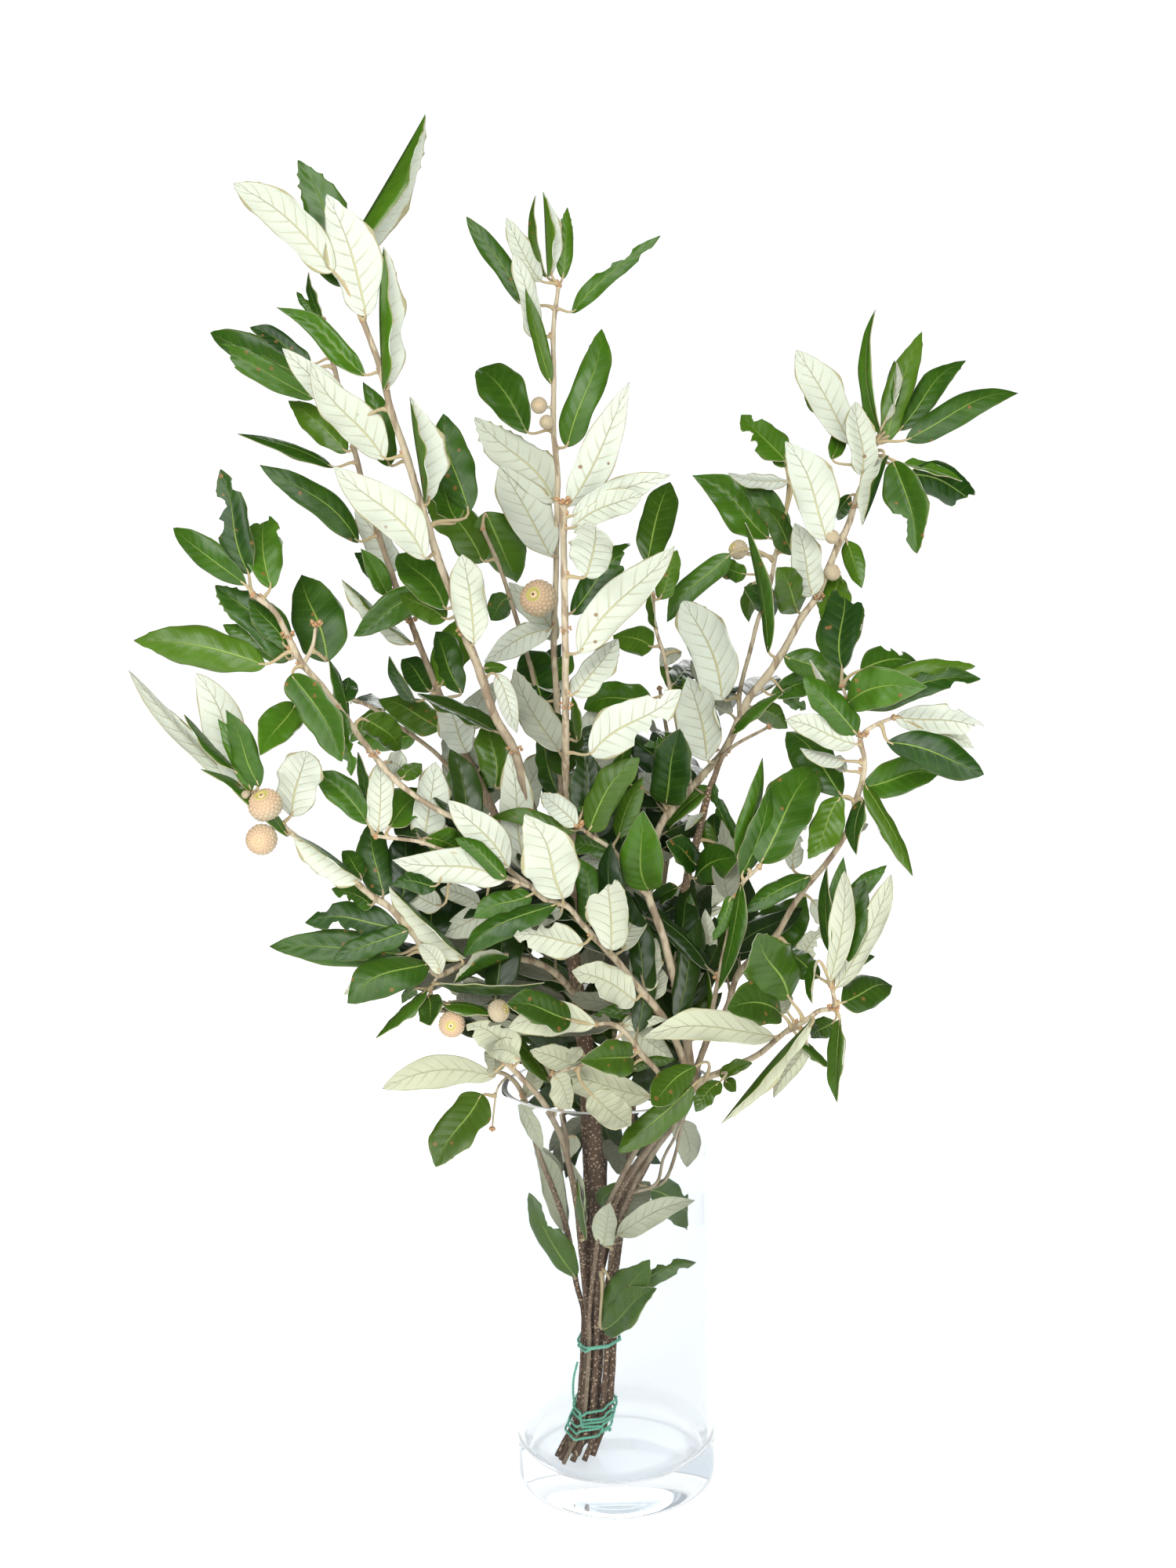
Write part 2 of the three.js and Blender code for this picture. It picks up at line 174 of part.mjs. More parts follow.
// Spots left open between the leaves: x, z, radius on the table plane.
const OPEN_SPOTS = [[-35,378,5],[-46,340,3],[12,410,9],[22,443,5],[70,345,12],[62,358,7],[80,362,11],[57,237,5],[33,301,4],[83,300,6],[-95,365,8],[-88,375,5],[50,318,4],[18,403,8],[30,405,5],[70,240,4],[95,330,9],[85,255,3]];

const V = (x, y, z) => new THREE.Vector3(x, y, z);

// A table point x, z moved to depth y along the line from TABLE_EYE.
function place(x, z, y) {
  const f = (y - TABLE_EYE.y) / -TABLE_EYE.y;
  return V(TABLE_EYE.x + (x - TABLE_EYE.x) * f, y, TABLE_EYE.z + (z - TABLE_EYE.z) * f);
}
const STEM_STEP = 36;
const SMALLEST_LEAF = 23;   // leaves shorter than this stay out of the solids
const wave = (n) => { const s = Math.sin(n * 12.9898 + 4.1) * 4375.8545; return s - Math.floor(s); };

function toManifold(geometry) {
  const g = geometry.clone();
  g.deleteAttribute('normal');
  g.deleteAttribute('uv');
  const m = mergeVertices(g, 1e-4);
  return new wasm.Manifold(new wasm.Mesh({
    numProp: 3,
    vertProperties: new Float32Array(m.attributes.position.array),
    triVerts: new Uint32Array(m.index.array),
  }));
}
function toGeometry(manifold) {
  const m = manifold.getMesh();
  const g = new THREE.BufferGeometry();
  g.setAttribute('position', new THREE.BufferAttribute(new Float32Array(m.vertProperties), 3));
  g.setIndex(new THREE.BufferAttribute(new Uint32Array(m.triVerts), 1));
  g.computeVertexNormals();
  return g;
}
const join = (list) => list.reduce((a, b) => a.add(b));

// Round tapering stem along points with radii.
function stem(points, radii, grow = 0) {
  const curve = new THREE.CatmullRomCurve3(points, false, 'centripetal');
  const length = curve.getLength();
  const sides = radii[0] >= 3 ? 6 : 4;
  const steps = Math.max(2, Math.round(length / STEM_STEP));
  const section = new THREE.Shape();
  for (let i = 0; i < sides; i++) {
    const a = (i / sides) * Math.PI * 2;
    section[i ? 'lineTo' : 'moveTo'](Math.cos(a), Math.sin(a));
  }
  const g = new THREE.ExtrudeGeometry(section, { steps, extrudePath: curve, bevelEnabled: false });
  const centres = curve.getSpacedPoints(steps);
  const ends = points.map((p) => p);
  const along = [0];
  for (let i = 1; i < ends.length; i++) along.push(along[i - 1] + ends[i].distanceTo(ends[i - 1]));
  const total = along[along.length - 1];
  const radiusAt = (t) => {
    const s = t * total;
    for (let i = 1; i < along.length; i++) {
      if (s <= along[i] + 1e-6) {
        const k = (s - along[i - 1]) / (along[i] - along[i - 1]);
        return radii[i - 1] + (radii[i] - radii[i - 1]) * k;
      }
    }
    return radii[radii.length - 1];
  };
  const pos = g.attributes.position;
  const p = V(0, 0, 0);
  for (let i = 0; i < pos.count; i++) {
    p.fromBufferAttribute(pos, i);
    let best = 0, far = Infinity;
    centres.forEach((c, k) => { const d = c.distanceTo(p); if (d < far) { far = d; best = k; } });
    const r = radiusAt(best / steps) * 1.04 + grow;
    p.sub(centres[best]).normalize().multiplyScalar(r).add(centres[best]);
    pos.setXYZ(i, p.x, p.y, p.z);
  }
  return toManifold(g);
}
// Points a stem is drawn through, evenly spaced, and the nearest spot on a set of such lines.
function spaced(points) {
  const curve = new THREE.CatmullRomCurve3(points, false, 'centripetal');
  return curve.getSpacedPoints(Math.max(2, Math.round(curve.getLength() / STEM_STEP)));
}
function onLines(lines, p) {
  let best = p, far = Infinity;
  const spot = V(0, 0, 0);
  for (const line of lines) {
    for (let i = 1; i < line.length; i++) {
      new THREE.Line3(line[i - 1], line[i]).closestPointToPoint(p, true, spot);
      const d = spot.distanceTo(p);
      if (d < far) { far = d; best = spot.clone(); }
    }
  }
  return best;
}
// The part of a stem below the tables: from its cut end on the glass floor up through both ties.
function footPoints([x, y, r, end]) {
  const low = V(x * 1.15 - 12, y - 15.5, 16.5);
  const mid = V(x - 4.2, y - 6.5, LOWER_TIE.z);
  const points = [V(x - 1.5, y - 2.5, 50), V(x, y, UPPER_TIE.z), V(x + 0.4, y + 0.4, 84)];
  if (end > 20) return [V(low.x + (mid.x - low.x) * 0.62, low.y + (mid.y - low.y) * 0.62, end), mid, ...points];
  return [low, mid, ...points];
}

// Leaf blade: a flat kite from foot to tip, facing n, plus a stalk where the twig is far away.
function bladeFrame(foot, tip, n) {
  const axis = tip.clone().sub(foot).normalize();
  const face = n.clone().addScaledVector(axis, -n.dot(axis)).normalize();
  const side = face.clone().cross(axis);
  return { axis, face, side };
}
function blade({ foot, tip, n, width, twig }, grow = 0) {
  const { axis, face, side } = bladeFrame(foot, tip, n);
  const gap = foot.distanceTo(twig);
  const reach = gap < 14 ? gap : 3;
  const start = gap < 14 ? twig : foot.clone().addScaledVector(axis, -3);
  const frame = gap < 14 ? bladeFrame(twig, tip, face) : { axis, face, side };
  const length = tip.distanceTo(start);
  const half = width / 2 + grow;
  const wide = reach + (length - reach) * 0.44;
  const outline = new THREE.Shape([
    new THREE.Vector2(-1.2 - 3 * grow, 0), new THREE.Vector2(wide, -half), new THREE.Vector2(length + 2 * grow, 0), new THREE.Vector2(wide, half)]);
  const thick = LEAF_THICKNESS + 2 * grow;
  const g = new THREE.ExtrudeGeometry(outline, { depth: thick, bevelEnabled: false });
  g.translate(0, 0, -thick / 2);
  const turn = new THREE.Matrix4().makeBasis(frame.axis, frame.side.clone(), frame.axis.clone().cross(frame.side));
  turn.setPosition(start);
  g.applyMatrix4(turn);
  const parts = [toManifold(g)];
  if (gap >= 14) parts.push(stalk(twig, foot.clone().addScaledVector(axis, 2), 0.8 + grow));
  return join(parts);
}
function stalk(a, b, r) {
  const s = new THREE.Shape([0, 1, 2].map((i) => new THREE.Vector2(r * 1.3 * Math.cos(i * 2.0944), r * 1.3 * Math.sin(i * 2.0944))));
  return toManifold(new THREE.ExtrudeGeometry(s, { steps: 1, extrudePath: new THREE.LineCurve3(a, b), bevelEnabled: false }));
}

// Nearest point of a branch's table routes to x, z: gives x, z, y there.
function nearest(routes, x, z) {
  let best = null, far = Infinity;
  for (const route of routes) {
    for (let i = 1; i < route.length; i++) {
      const [ax, az, ay] = route[i - 1];
      const [bx, bz, by] = route[i];
      const l = (bx - ax) ** 2 + (bz - az) ** 2;
      const t = Math.min(1, Math.max(0, ((x - ax) * (bx - ax) + (z - az) * (bz - az)) / l));
      const px = ax + (bx - ax) * t, pz = az + (bz - az) * t;
      const d = Math.hypot(px - x, pz - z);
      if (d < far) { far = d; best = [px, pz, ay + (by - ay) * t]; }
    }
  }
  return best;
}
function tableLeaf(routes, lines, row, index) {
  const [fx, fz, tx, tz, faceCode, w, lift, lean, form] = row;
  const [ax, az, ay] = nearest(routes, fx, fz);
  const twig = onLines(lines, place(ax, az, ay));
  const width = form === 5 ? Math.max(12, w * 1.2) : w * 1.03;
  // a blade that looks short for its width points partly away or towards the front
  const seen = Math.hypot(tx - fx, tz - fz);
  const full = form === 5 ? 0 : Math.min(62, 2.9 * w);
  const turned = full > seen ? Math.min(0.75 * Math.sqrt(full * full - seen * seen), 1.1 * seen, 26) : 0;
  const depth = Math.max(Math.abs(lean), turned) * (lean < 0 || (lean === 0 && wave(index + 50) < 0.5) ? -1 : 1);
  const foot = place(fx, fz, ay + lift);
  const tip = place(tx, tz, ay + lift + depth);
  const axis = tip.clone().sub(foot).normalize();
  const toEye = TABLE_EYE.clone().sub(foot.clone().add(tip).multiplyScalar(0.5)).normalize();
  const roll = form === 5 ? (wave(index) > 0.5 ? 1 : -1) * Math.acos(Math.min(1, w / width)) : (wave(index) - 0.5) * 0.5;
  const n = toEye.applyAxisAngle(axis, roll).multiplyScalar(faceCode === 'g' ? 1 : -1);
  return { foot, tip, twig, n, width };
}
// Leaves set round a back stem in a spiral, held out and up, clear of the open spots.
function backLeaves(stemInfo, lines) {
  const route = stemInfo.routes[0];
  const points = route.map(([x, z, y]) => place(x, z, y));
  const curve = new THREE.CatmullRomCurve3(points, false, 'centripetal');
  const out = [];
  for (let i = 0; out.length < stemInfo.count && i < stemInfo.count * 5; i++) {
    const k = i + stemInfo.first;
    const t = 0.44 + 0.56 * ((i * 0.6180339) % 1);
    const twig = curve.getPointAt(t);
    const tangent = curve.getTangentAt(t);
    const flat = V(Math.cos(k * 2.39996), Math.sin(k * 2.39996) + 0.55, 0);
    flat.addScaledVector(tangent, -flat.dot(tangent)).normalize();
    const axis = flat.clone().multiplyScalar(0.8).addScaledVector(tangent, 0.35 + 0.3 * wave(k)).add(V(0, 0, 0.25 * wave(k + 9))).normalize();
    const foot = twig.clone().addScaledVector(axis, 8);
    const length = 40 + 18 * wave(k + 3);
    const tip = foot.clone().addScaledVector(axis, length);
    const width = 14 + 7 * wave(k + 5);
    const n = V(0, 0, 1).addScaledVector(flat, 0.25).add(V(0.5 * (wave(k + 7) - 0.5), 0.7, 0)).normalize();
    let clear = true;
    for (let s = 0; s <= 4; s++) {
      const p = foot.clone().lerp(tip, s / 4);
      const f = -TABLE_EYE.y / (p.y - TABLE_EYE.y);
      const x = TABLE_EYE.x + (p.x - TABLE_EYE.x) * f, z = TABLE_EYE.z + (p.z - TABLE_EYE.z) * f;
      if (x < -95 || x > 92 || z > 404 || z < 222 || p.z < 212 || OPEN_SPOTS.some(([cx, cz, r]) => Math.hypot(cx - x, cz - z) < r + 5)) clear = false;
      if (out.some((o) => o.foot.clone().lerp(o.tip, 0.5).distanceTo(p) < 9)) clear = false;
    }
    if (clear) out.push({ foot, tip, twig: onLines(lines, twig), n, width });
  }
  return out;
}

// Acorn cup on its stalk.
const CUP_AIM = { f: V(0.1, -1, 0.15), l: V(-0.8, -0.5, 0.35), r: V(0.8, -0.5, 0.35), u: V(-0.15, -0.45, 0.85) };
function cup(routes, lines, [x, z, lift, size, way], grow = 0) {
  const [ax, az, ay] = nearest(routes, x, z);
  const centre = place(x, z, ay + lift);
  const r = size / 2 + grow;
  const g = new THREE.LatheGeometry([[0, -0.86], [1, -0.3], [0.9, 0.3], [0, 0.72]].map(([a, b]) => new THREE.Vector2(a * r, b * r)), 7);
  const q = new THREE.Quaternion().setFromUnitVectors(V(0, 1, 0), CUP_AIM[way].clone().normalize());
  g.applyQuaternion(q).translate(centre.x, centre.y, centre.z);
  const back = centre.clone().addScaledVector(CUP_AIM[way].clone().normalize(), -0.6 * r);
  return join([toManifold(g), stalk(onLines(lines, place(ax, az, ay)), back, (size > 9 ? 1.2 : 0.8) + grow)]);
}

// ---- glass vase ----
function vaseGeometry(grow = 0) {
  const o = grow, i = -grow;
  const inFoot = VASE_FOOT_RADIUS - VASE_WALL, inRim = VASE_RIM_RADIUS - VASE_WALL;
  const profile = [[0, -o], [45.6, -o], [48.3 + o * 0.6, 1.2 - o * 0.6], [VASE_FOOT_RADIUS + o, 4], [VASE_RIM_RADIUS + o, VASE_HEIGHT - 1.2],
    [VASE_RIM_RADIUS - 0.8 + o, VASE_HEIGHT + o], [inRim + 0.8 + i, VASE_HEIGHT + o], [inRim + i, VASE_HEIGHT - 1.2],
    [inFoot + i, VASE_FLOOR + 7], [inFoot - 1.9 + i, VASE_FLOOR + 2 + o], [inFoot - 6.5, VASE_FLOOR + o], [0, VASE_FLOOR + o]];
  const g = new THREE.LatheGeometry(profile.map(([x, y]) => new THREE.Vector2(x, y)), VASE_SIDES);
  g.rotateX(Math.PI / 2);
  return g;
}

// ---- build every branch ----
function leaned(name, spec) {
  const lean = LEAN[name] || [0];
  const routes = spec.routes.map((route, k) => route.map(([x, z, y, r]) => {
    const out = k ? (lean[k] || 0) * Math.hypot(x - route[0][0], z - route[0][1]) : 0;
    return [x, z, y + (lean[0] * Math.max(0, z - 215) + out) / 100, r];
  }));
  return { ...spec, routes };
}
const names = [...Object.keys(BRANCHES), ...Object.keys(BACK_STEMS)];
const SPEC = {};
names.forEach((name) => { SPEC[name] = leaned(name, BRANCHES[name] || BACK_STEMS[name]); });
// Every route of a branch as points and radii; side twigs start on the main stem.
function runs(spec) {
  const list = [];
  spec.routes.forEach((route, k) => {
    const points = route.map(([x, z, y]) => place(x, z, y));
    const radii = route.map((p) => p[3]);
    if (k === 0) {
      const foot = footPoints(spec.foot);
      points.unshift(...foot);
      radii.unshift(...foot.map(() => spec.foot[2]));
    } else {
      points[0] = onLines(list.map((r) => r.line), points[0]);
    }
    list.push({ points, radii, line: spaced(points) });
  });
  return list;
}
const RUNS = {}, LINES = {}, leafRows = {};
names.forEach((name) => {
  const spec = SPEC[name];
  RUNS[name] = runs(spec);
  LINES[name] = RUNS[name].map((r) => r.line);
  leafRows[name] = spec.leaves
    ? spec.leaves.map((row, i) => [row, i + 1]).filter(([row]) => Math.hypot(row[2] - row[0], row[3] - row[1]) > SMALLEST_LEAF)
      .map(([row, i]) => tableLeaf(spec.routes, LINES[name], row, i))
    : backLeaves(spec, LINES[name]);
});
const wood = {}, grownWood = {}, foliage = {}, grownFoliage = {};
names.forEach((name) => {
  const spec = SPEC[name];
  wood[name] = join(RUNS[name].map((r) => stem(r.points, r.radii)));
  grownWood[name] = join(RUNS[name].map((r) => stem(r.points, r.radii, GAP)));
  foliage[name] = join([...leafRows[name].map((l) => blade(l)), ...(spec.cups || []).map((c) => cup(spec.routes, LINES[name], c))]);
  grownFoliage[name] = join([...leafRows[name].map((l) => blade(l, GAP)), ...(spec.cups || []).map((c) => cup(spec.routes, LINES[name], c, GAP))]);
});
const grownVase = toManifold(vaseGeometry(GAP));
const solids = {};
names.forEach((name, i) => {
  let bark = wood[name].subtract(grownVase);
  names.slice(0, i).forEach((other) => { bark = bark.subtract(grownWood[other]); });
  let leaves = foliage[name].subtract(grownVase);
  names.forEach((other, j) => {
    if (j === i) return;
    leaves = leaves.subtract(grownWood[other]);
    if (j < i) leaves = leaves.subtract(grownFoliage[other]);
  });
  const pieces = bark.add(leaves).decompose();
  pieces.sort((a, b) => b.volume() - a.volume());
  solids[name] = pieces[0];
});

// ---- twine ties round the bundle ----
function tie({ z, height }) {
  const ring = (grow) => {
    const spots = [];
    names.forEach((name) => {
      const [x, y, r] = SPEC[name].foot;
      for (let a = 0; a < 12; a++) spots.push([x + (r + grow) * Math.cos(a * Math.PI / 6), y + (r + grow) * Math.sin(a * Math.PI / 6)]);
    });
    spots.sort((p, q) => p[0] - q[0] || p[1] - q[1]);
    const half = (list) => {
      const h = [];
      for (const p of list) {
        while (h.length > 1) {
          const [a, b] = h.slice(-2);
          if ((b[0] - a[0]) * (p[1] - a[1]) - (b[1] - a[1]) * (p[0] - a[0]) > 0.05) break;
          h.pop();
        }
        h.push(p);
      }
      return h.slice(0, -1);
    };
    return [...half(spots), ...half([...spots].reverse())].map(([x, y]) => new THREE.Vector2(x, y));
  };
  const shape = new THREE.Shape(ring(GAP + 0.1 + TWINE));
  shape.holes.push(new THREE.Path(ring(-0.4)));
  const g = new THREE.ExtrudeGeometry(shape, { depth: height, bevelEnabled: false });
  g.translate(0, 0, -height / 2);
  const low = z < 50;
  const lean = low ? [0.33, 0.36] : [0.06, 0.09];
  g.applyMatrix4(new THREE.Matrix4().set(1, 0, lean[0], low ? -4.2 : 0, 0, 1, lean[1], low ? -6.5 : 0, 0, 0, 1, z, 0, 0, 0, 1));
  let band = toManifold(g);
  names.forEach((name) => { band = band.subtract(grownWood[name]); });
  const pieces = band.decompose().sort((a, b) => b.volume() - a.volume());
  return pieces[0];
}

const group = new THREE.Group();
const finish = (name, geometry, color, roughness, metalness = 0) => {
  const mesh = new THREE.Mesh(geometry, new THREE.MeshStandardMaterial({ color, roughness, metalness }));
  mesh.name = name;
  group.add(mesh);
};
finish('vase', toGeometry(toManifold(vaseGeometry())), 0xe6eeee, 0.05);
finish('tie_lower', toGeometry(tie(LOWER_TIE)), 0x5fa37c, 0.8);
finish('tie_upper', toGeometry(tie(UPPER_TIE)), 0x5fa37c, 0.8);
names.forEach((name) => finish(name, toGeometry(solids[name]), 0x4f7a33, 0.5));

export default group;
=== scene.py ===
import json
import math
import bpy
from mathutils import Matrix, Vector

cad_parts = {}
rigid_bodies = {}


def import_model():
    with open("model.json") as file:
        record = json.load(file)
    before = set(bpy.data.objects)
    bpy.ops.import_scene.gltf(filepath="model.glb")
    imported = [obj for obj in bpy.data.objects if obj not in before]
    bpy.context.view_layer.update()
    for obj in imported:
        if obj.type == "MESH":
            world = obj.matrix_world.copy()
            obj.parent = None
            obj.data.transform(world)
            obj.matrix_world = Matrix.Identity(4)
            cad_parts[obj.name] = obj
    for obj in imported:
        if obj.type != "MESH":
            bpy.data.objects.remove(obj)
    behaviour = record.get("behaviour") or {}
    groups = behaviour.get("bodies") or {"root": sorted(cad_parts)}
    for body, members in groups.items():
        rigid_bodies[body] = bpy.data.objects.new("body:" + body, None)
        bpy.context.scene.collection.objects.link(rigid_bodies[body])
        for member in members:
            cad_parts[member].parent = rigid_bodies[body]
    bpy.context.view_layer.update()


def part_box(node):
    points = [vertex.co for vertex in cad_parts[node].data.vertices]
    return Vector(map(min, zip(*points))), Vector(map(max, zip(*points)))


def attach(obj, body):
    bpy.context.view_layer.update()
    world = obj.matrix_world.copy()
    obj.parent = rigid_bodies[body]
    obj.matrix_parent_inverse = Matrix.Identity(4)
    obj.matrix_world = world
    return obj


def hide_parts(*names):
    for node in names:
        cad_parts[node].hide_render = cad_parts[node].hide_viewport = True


bl_info = {
    "name": "Holm Oak Bunch in a Glass Vase",
    "version": (1, 0, 0),
    "blender": (4, 5, 0),
    "location": "3D View > Sidebar > Holm Oak",
    "description": "Builds tied holm oak branches standing in a clear glass vase",
    "category": "Add Mesh",
}

from collections import namedtuple

import bpy
import numpy as np
from bpy.props import FloatProperty, FloatVectorProperty, IntProperty, PointerProperty
from mathutils import Matrix, Vector, noise

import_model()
VASE_LOW, VASE_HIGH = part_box("vase")

MM = 0.001
TURN = 2 * math.pi
GOLDEN_ANGLE = 2.39996  # from one leaf of a spiral to the next
GOLDEN_SHARE = 0.6180339
# Places are in mm. The tables are laid out on the plane y = 0 as seen from the eye.
TABLE_EYE = np.array([-6.0, -765.0, 412.0])
FLOOR_INSIDE = 15.0  # top of the thick glass base
LOWER_TIE_Z, UPPER_TIE_Z = 33.0, 69.0
GLASS_TOP = 201.5  # leaves keep clear of the glass below this
SWING_Z = 215  # branches lean back or forward above this
BORE_Z, BORE_RADIUS, BORE_SLOPE = 22, 46.3, 0.0194  # inside of the vase: it widens upwards from BORE_Z
GLASS_WALL = 3.1
LEAF_LENGTH, LEAF_LENGTH_MOST = 2.9, 62  # against the width of the leaf, and in mm
TIP_DEPTH_MOST = 26  # how far a leaf's tip may lie behind or before its foot
G, W = 1, -1  # side of a leaf that is turned to the front: green, or white felt

# Branch tables, the same rows as in the solids. foot: x and y where the stem passes the upper tie, its radius,
# and the height of its cut end. routes: x, z, depth y, radius. leaves: blade foot x z, tip x z, side, width,
# depth of the foot against the twig, depth of the tip against the foot, form (0 plain, 1 toothed, 2 bitten side,
# 3 bitten end, 4 waved or folded, 5 edge on). cups: x, z, depth, diameter, the way its mouth points.
BRANCHES = {}
BRANCHES["branch_centre"] = dict(foot=[-8.5, 1, 4.6, 16.5], routes=[
    [[-7.5,105,0,4.8],[-6.8,147,2,4.8],[-7.5,182,3,4.8],[-9,205,4,4.7],[-11,225,4,4.5],[-13.5,242,4,4.3],[-15,260,3,4],
     [-15.5,281,1,3.3],[-15,300,-3,2.8],[-14.3,322.5,-8,2.5],[-15.4,337.6,-12,2.4],[-16.7,356,-16,2.3],
     [-15.9,390,-24,2.1],[-15.3,424,-30,2],[-15,457.5,-34,1.9],[-14.7,486,-36,1.9]],
    [[-15.5,270,3,2.4],[-15.8,290,9,2.4],[-16.5,322,14,2.3],[-19,350,18,2.2],[-20,390,22,2.1],[-21,417,24,2],
     [-19,450,24,1.9],[-17.5,485,22,1.8],[-16.9,499,21,1.8],[-18.3,519,20,1.7],[-17.5,545,19,1.6],[-17,569,18,1.5],
     [-14,588,16,1.2]],
    [[-15,266,2,3],[-20,293,-6,2.9],[-28,320,-12,2.8],[-36,345,-16,2.7],[-42,367.5,-18,2.7],[-50.4,383,-19,2.6],
     [-56,401,-20,2.6],[-59.6,412,-20,2.5],[-64.8,425,-20,2.4],[-69.5,443,-20,2.4],[-74,455,-20,2.3],[-82,482,-19,2.2],
     [-90,512,-18,2.1],[-96,531,-18,2],[-100,550,-18,1.9],[-108,574,-18,1.6]],
    [[-13,240,0,2.2],[-20.5,251.8,-12,2.1],[-27.2,257.8,-17,2],[-36,262,-21,1.9],[-48.5,263.6,-25,1.9],
     [-69.2,261.5,-28,1.9],[-83,256.5,-30,2],[-92,274.3,-30,1.9],[-98.6,282.5,-30,1.9],[-105.1,290.5,-30,1.9],
     [-113.9,296.6,-30,1.9],[-124,306,-30,1.7],[-136,317,-30,1.6],[-150,327,-30,1.5],[-160,336,-30,1.4],
     [-172,350,-30,1.2]],
    [[-83,256.5,-34,1],[-86,250,-38,0.9],[-84,241,-41,0.8],[-77,237,-42,0.8],[-72,239,-42,0.7]],
    [[-84,244,-41,0.9],[-72,241,-43,0.8],[-60,235,-43,0.8],[-51,240,-42,0.8]],
], leaves=[
    [-21.5,460,-44.4,504,W,21,-14,5,0],[-18.4,486,-56,527,W,20,3,4,1],[-11.4,484,18.6,542,W,15,0,6,0],
    [-10.5,479,37.2,497.5,W,11,-1,-10,0],[-11.2,473,23.4,489,W,12,-4,-8,0],[-4.2,449.5,0.5,476,W,18,-5,-2,3],
    [-12,432,20,463,G,13,7,4,3],[-9,413,38.8,463.5,W,16.5,-7,-10,0],[-11.5,392.5,10.3,419.5,W,13,-2,2,0],
    [-21.9,425,-55,410,W,13,-7,-6,0],[-19,420,-42,448,W,14,4,6,0],[-27,390,-35,415,G,21,6,6,0],
    [-73,436,-95,463,G,17,8,4,0],[-73,431,-95,444,G,13,12,4,0],[-22,373,-49,404,W,9,-4,-6,5],
    [-10.5,370,-12.5,392,G,5,8,2,5],[-4.4,363.5,40.7,394,W,18.5,-10,-12,2],[-19.7,343,-29,375,G,15,8,4,0],
    [-17.5,592,-18.5,632,G,9,-1,-4,4],[-20,592,-24,630,G,5,3,5,5],[-12,591,-9,624,G,8,3,2,1],
    [-23,590,-38,620,W,9.5,0,6,0],[-33,580,-57,621,G,10,4,8,0],[-27,564,-35,604,W,10.5,-4,-4,0],
    [-19,542,-30,587,G,8,-2,-8,0],[-8,575,35,610,G,8.5,2,6,2],[-12,512,6,567,G,16,5,5,0],[-31,519,-53,550,G,20,6,8,0],
    [-121,597,-167,639,W,17,-2,8,0],[-117,590,-136,649,G,18,8,6,1],[-106,576,-123,633,W,20,-3,-4,0],
    [-115,601,-72,667,G,15,5,6,4],[-97,541,-94,608,G,12.5,-3,-5,4],[-108,548,-149,581,G,10.5,5,8,0],
    [-100,508,-134,555,W,17,-3,4,0],[-118,527,-147,562,W,12,12,5,0],[-98,505,-109,545,G,12,8,6,0],
    [-79,487,-84,538,G,15,-3,-6,4],[-82,460,-125,506,W,18.5,-8,-6,0],[-59.5,419,-64,462,W,16.5,-4,-3,0],
    [-37,307,-44,366,W,15,-6,-6,0],[-51.5,348,-54,383,G,14,8,4,0],[-49,404,-40,375,W,9,8,4,0],
    [-55,407,-44,407,G,6,5,5,0],[-60,482,-71,529,G,17,16,6,0],[-66,478,-77,498,G,12,14,8,0],
    [-178,354,-228,410,W,9,2,8,5],[-176,352,-195,408,W,16,0,4,0],[-178,360,-202,388,G,4,-4,-4,5],
    [-166.7,352,-181.5,389.8,G,11,-5,-6,0],[-170.7,350,-185.5,385.4,G,8,-2,0,0],[-154,327,-195,361,G,6,-4,-5,5],
    [-151.6,337,-143,368.6,W,17,2,-4,0],[-119.5,302.5,-153,326.5,W,12,-6,-4,4],[-118,306,-127.4,319,G,9,4,4,0],
    [-107.8,296.5,-112.7,333.5,G,15,5,3,0],[-69.5,263,-106.5,299.5,W,11,-7,-4,4],[-81,257,-91,272,W,8,-8,-2,0],
    [-100,267,-165,272.6,G,15,4,6,0],[-96.4,279,-133.8,265.5,G,11,-4,-6,0],[-101,280,-147,284,G,15,0,5,2],
    [-113.8,291.5,-133.3,300.5,G,9,5,4,2],[-86.5,262,-127.6,243.3,G,18,-4,-8,0],[-100,264,-129.4,247.7,W,11,5,0,0],
    [-88,249,-114.2,225.3,G,6,-3,-4,5],[-94,250,-100.8,242.5,G,5,4,2,0],[-87.8,246,-87,230.9,G,11,0,-4,0],
    [-48,266,-75.7,254,G,9,-7,-6,4],[-82,252,-30,251,G,5,-6,0,5],[-80,241,-56,235,G,6,-8,-2,5],
], cups=[
    [-27.8,440,-26,17.6,"a"],[-25,532,-8,8,"c"],[-21.5,524,-8,7,"c"],[-164.3,342.8,-6,14.5,"u"],
    [-166.8,325.8,-9,13.2,"c"],[-76.4,231.4,-10,11.6,"f"],[-53,237.5,-10,10,"r"],[-174,348,-6,3.6,"l"],
])
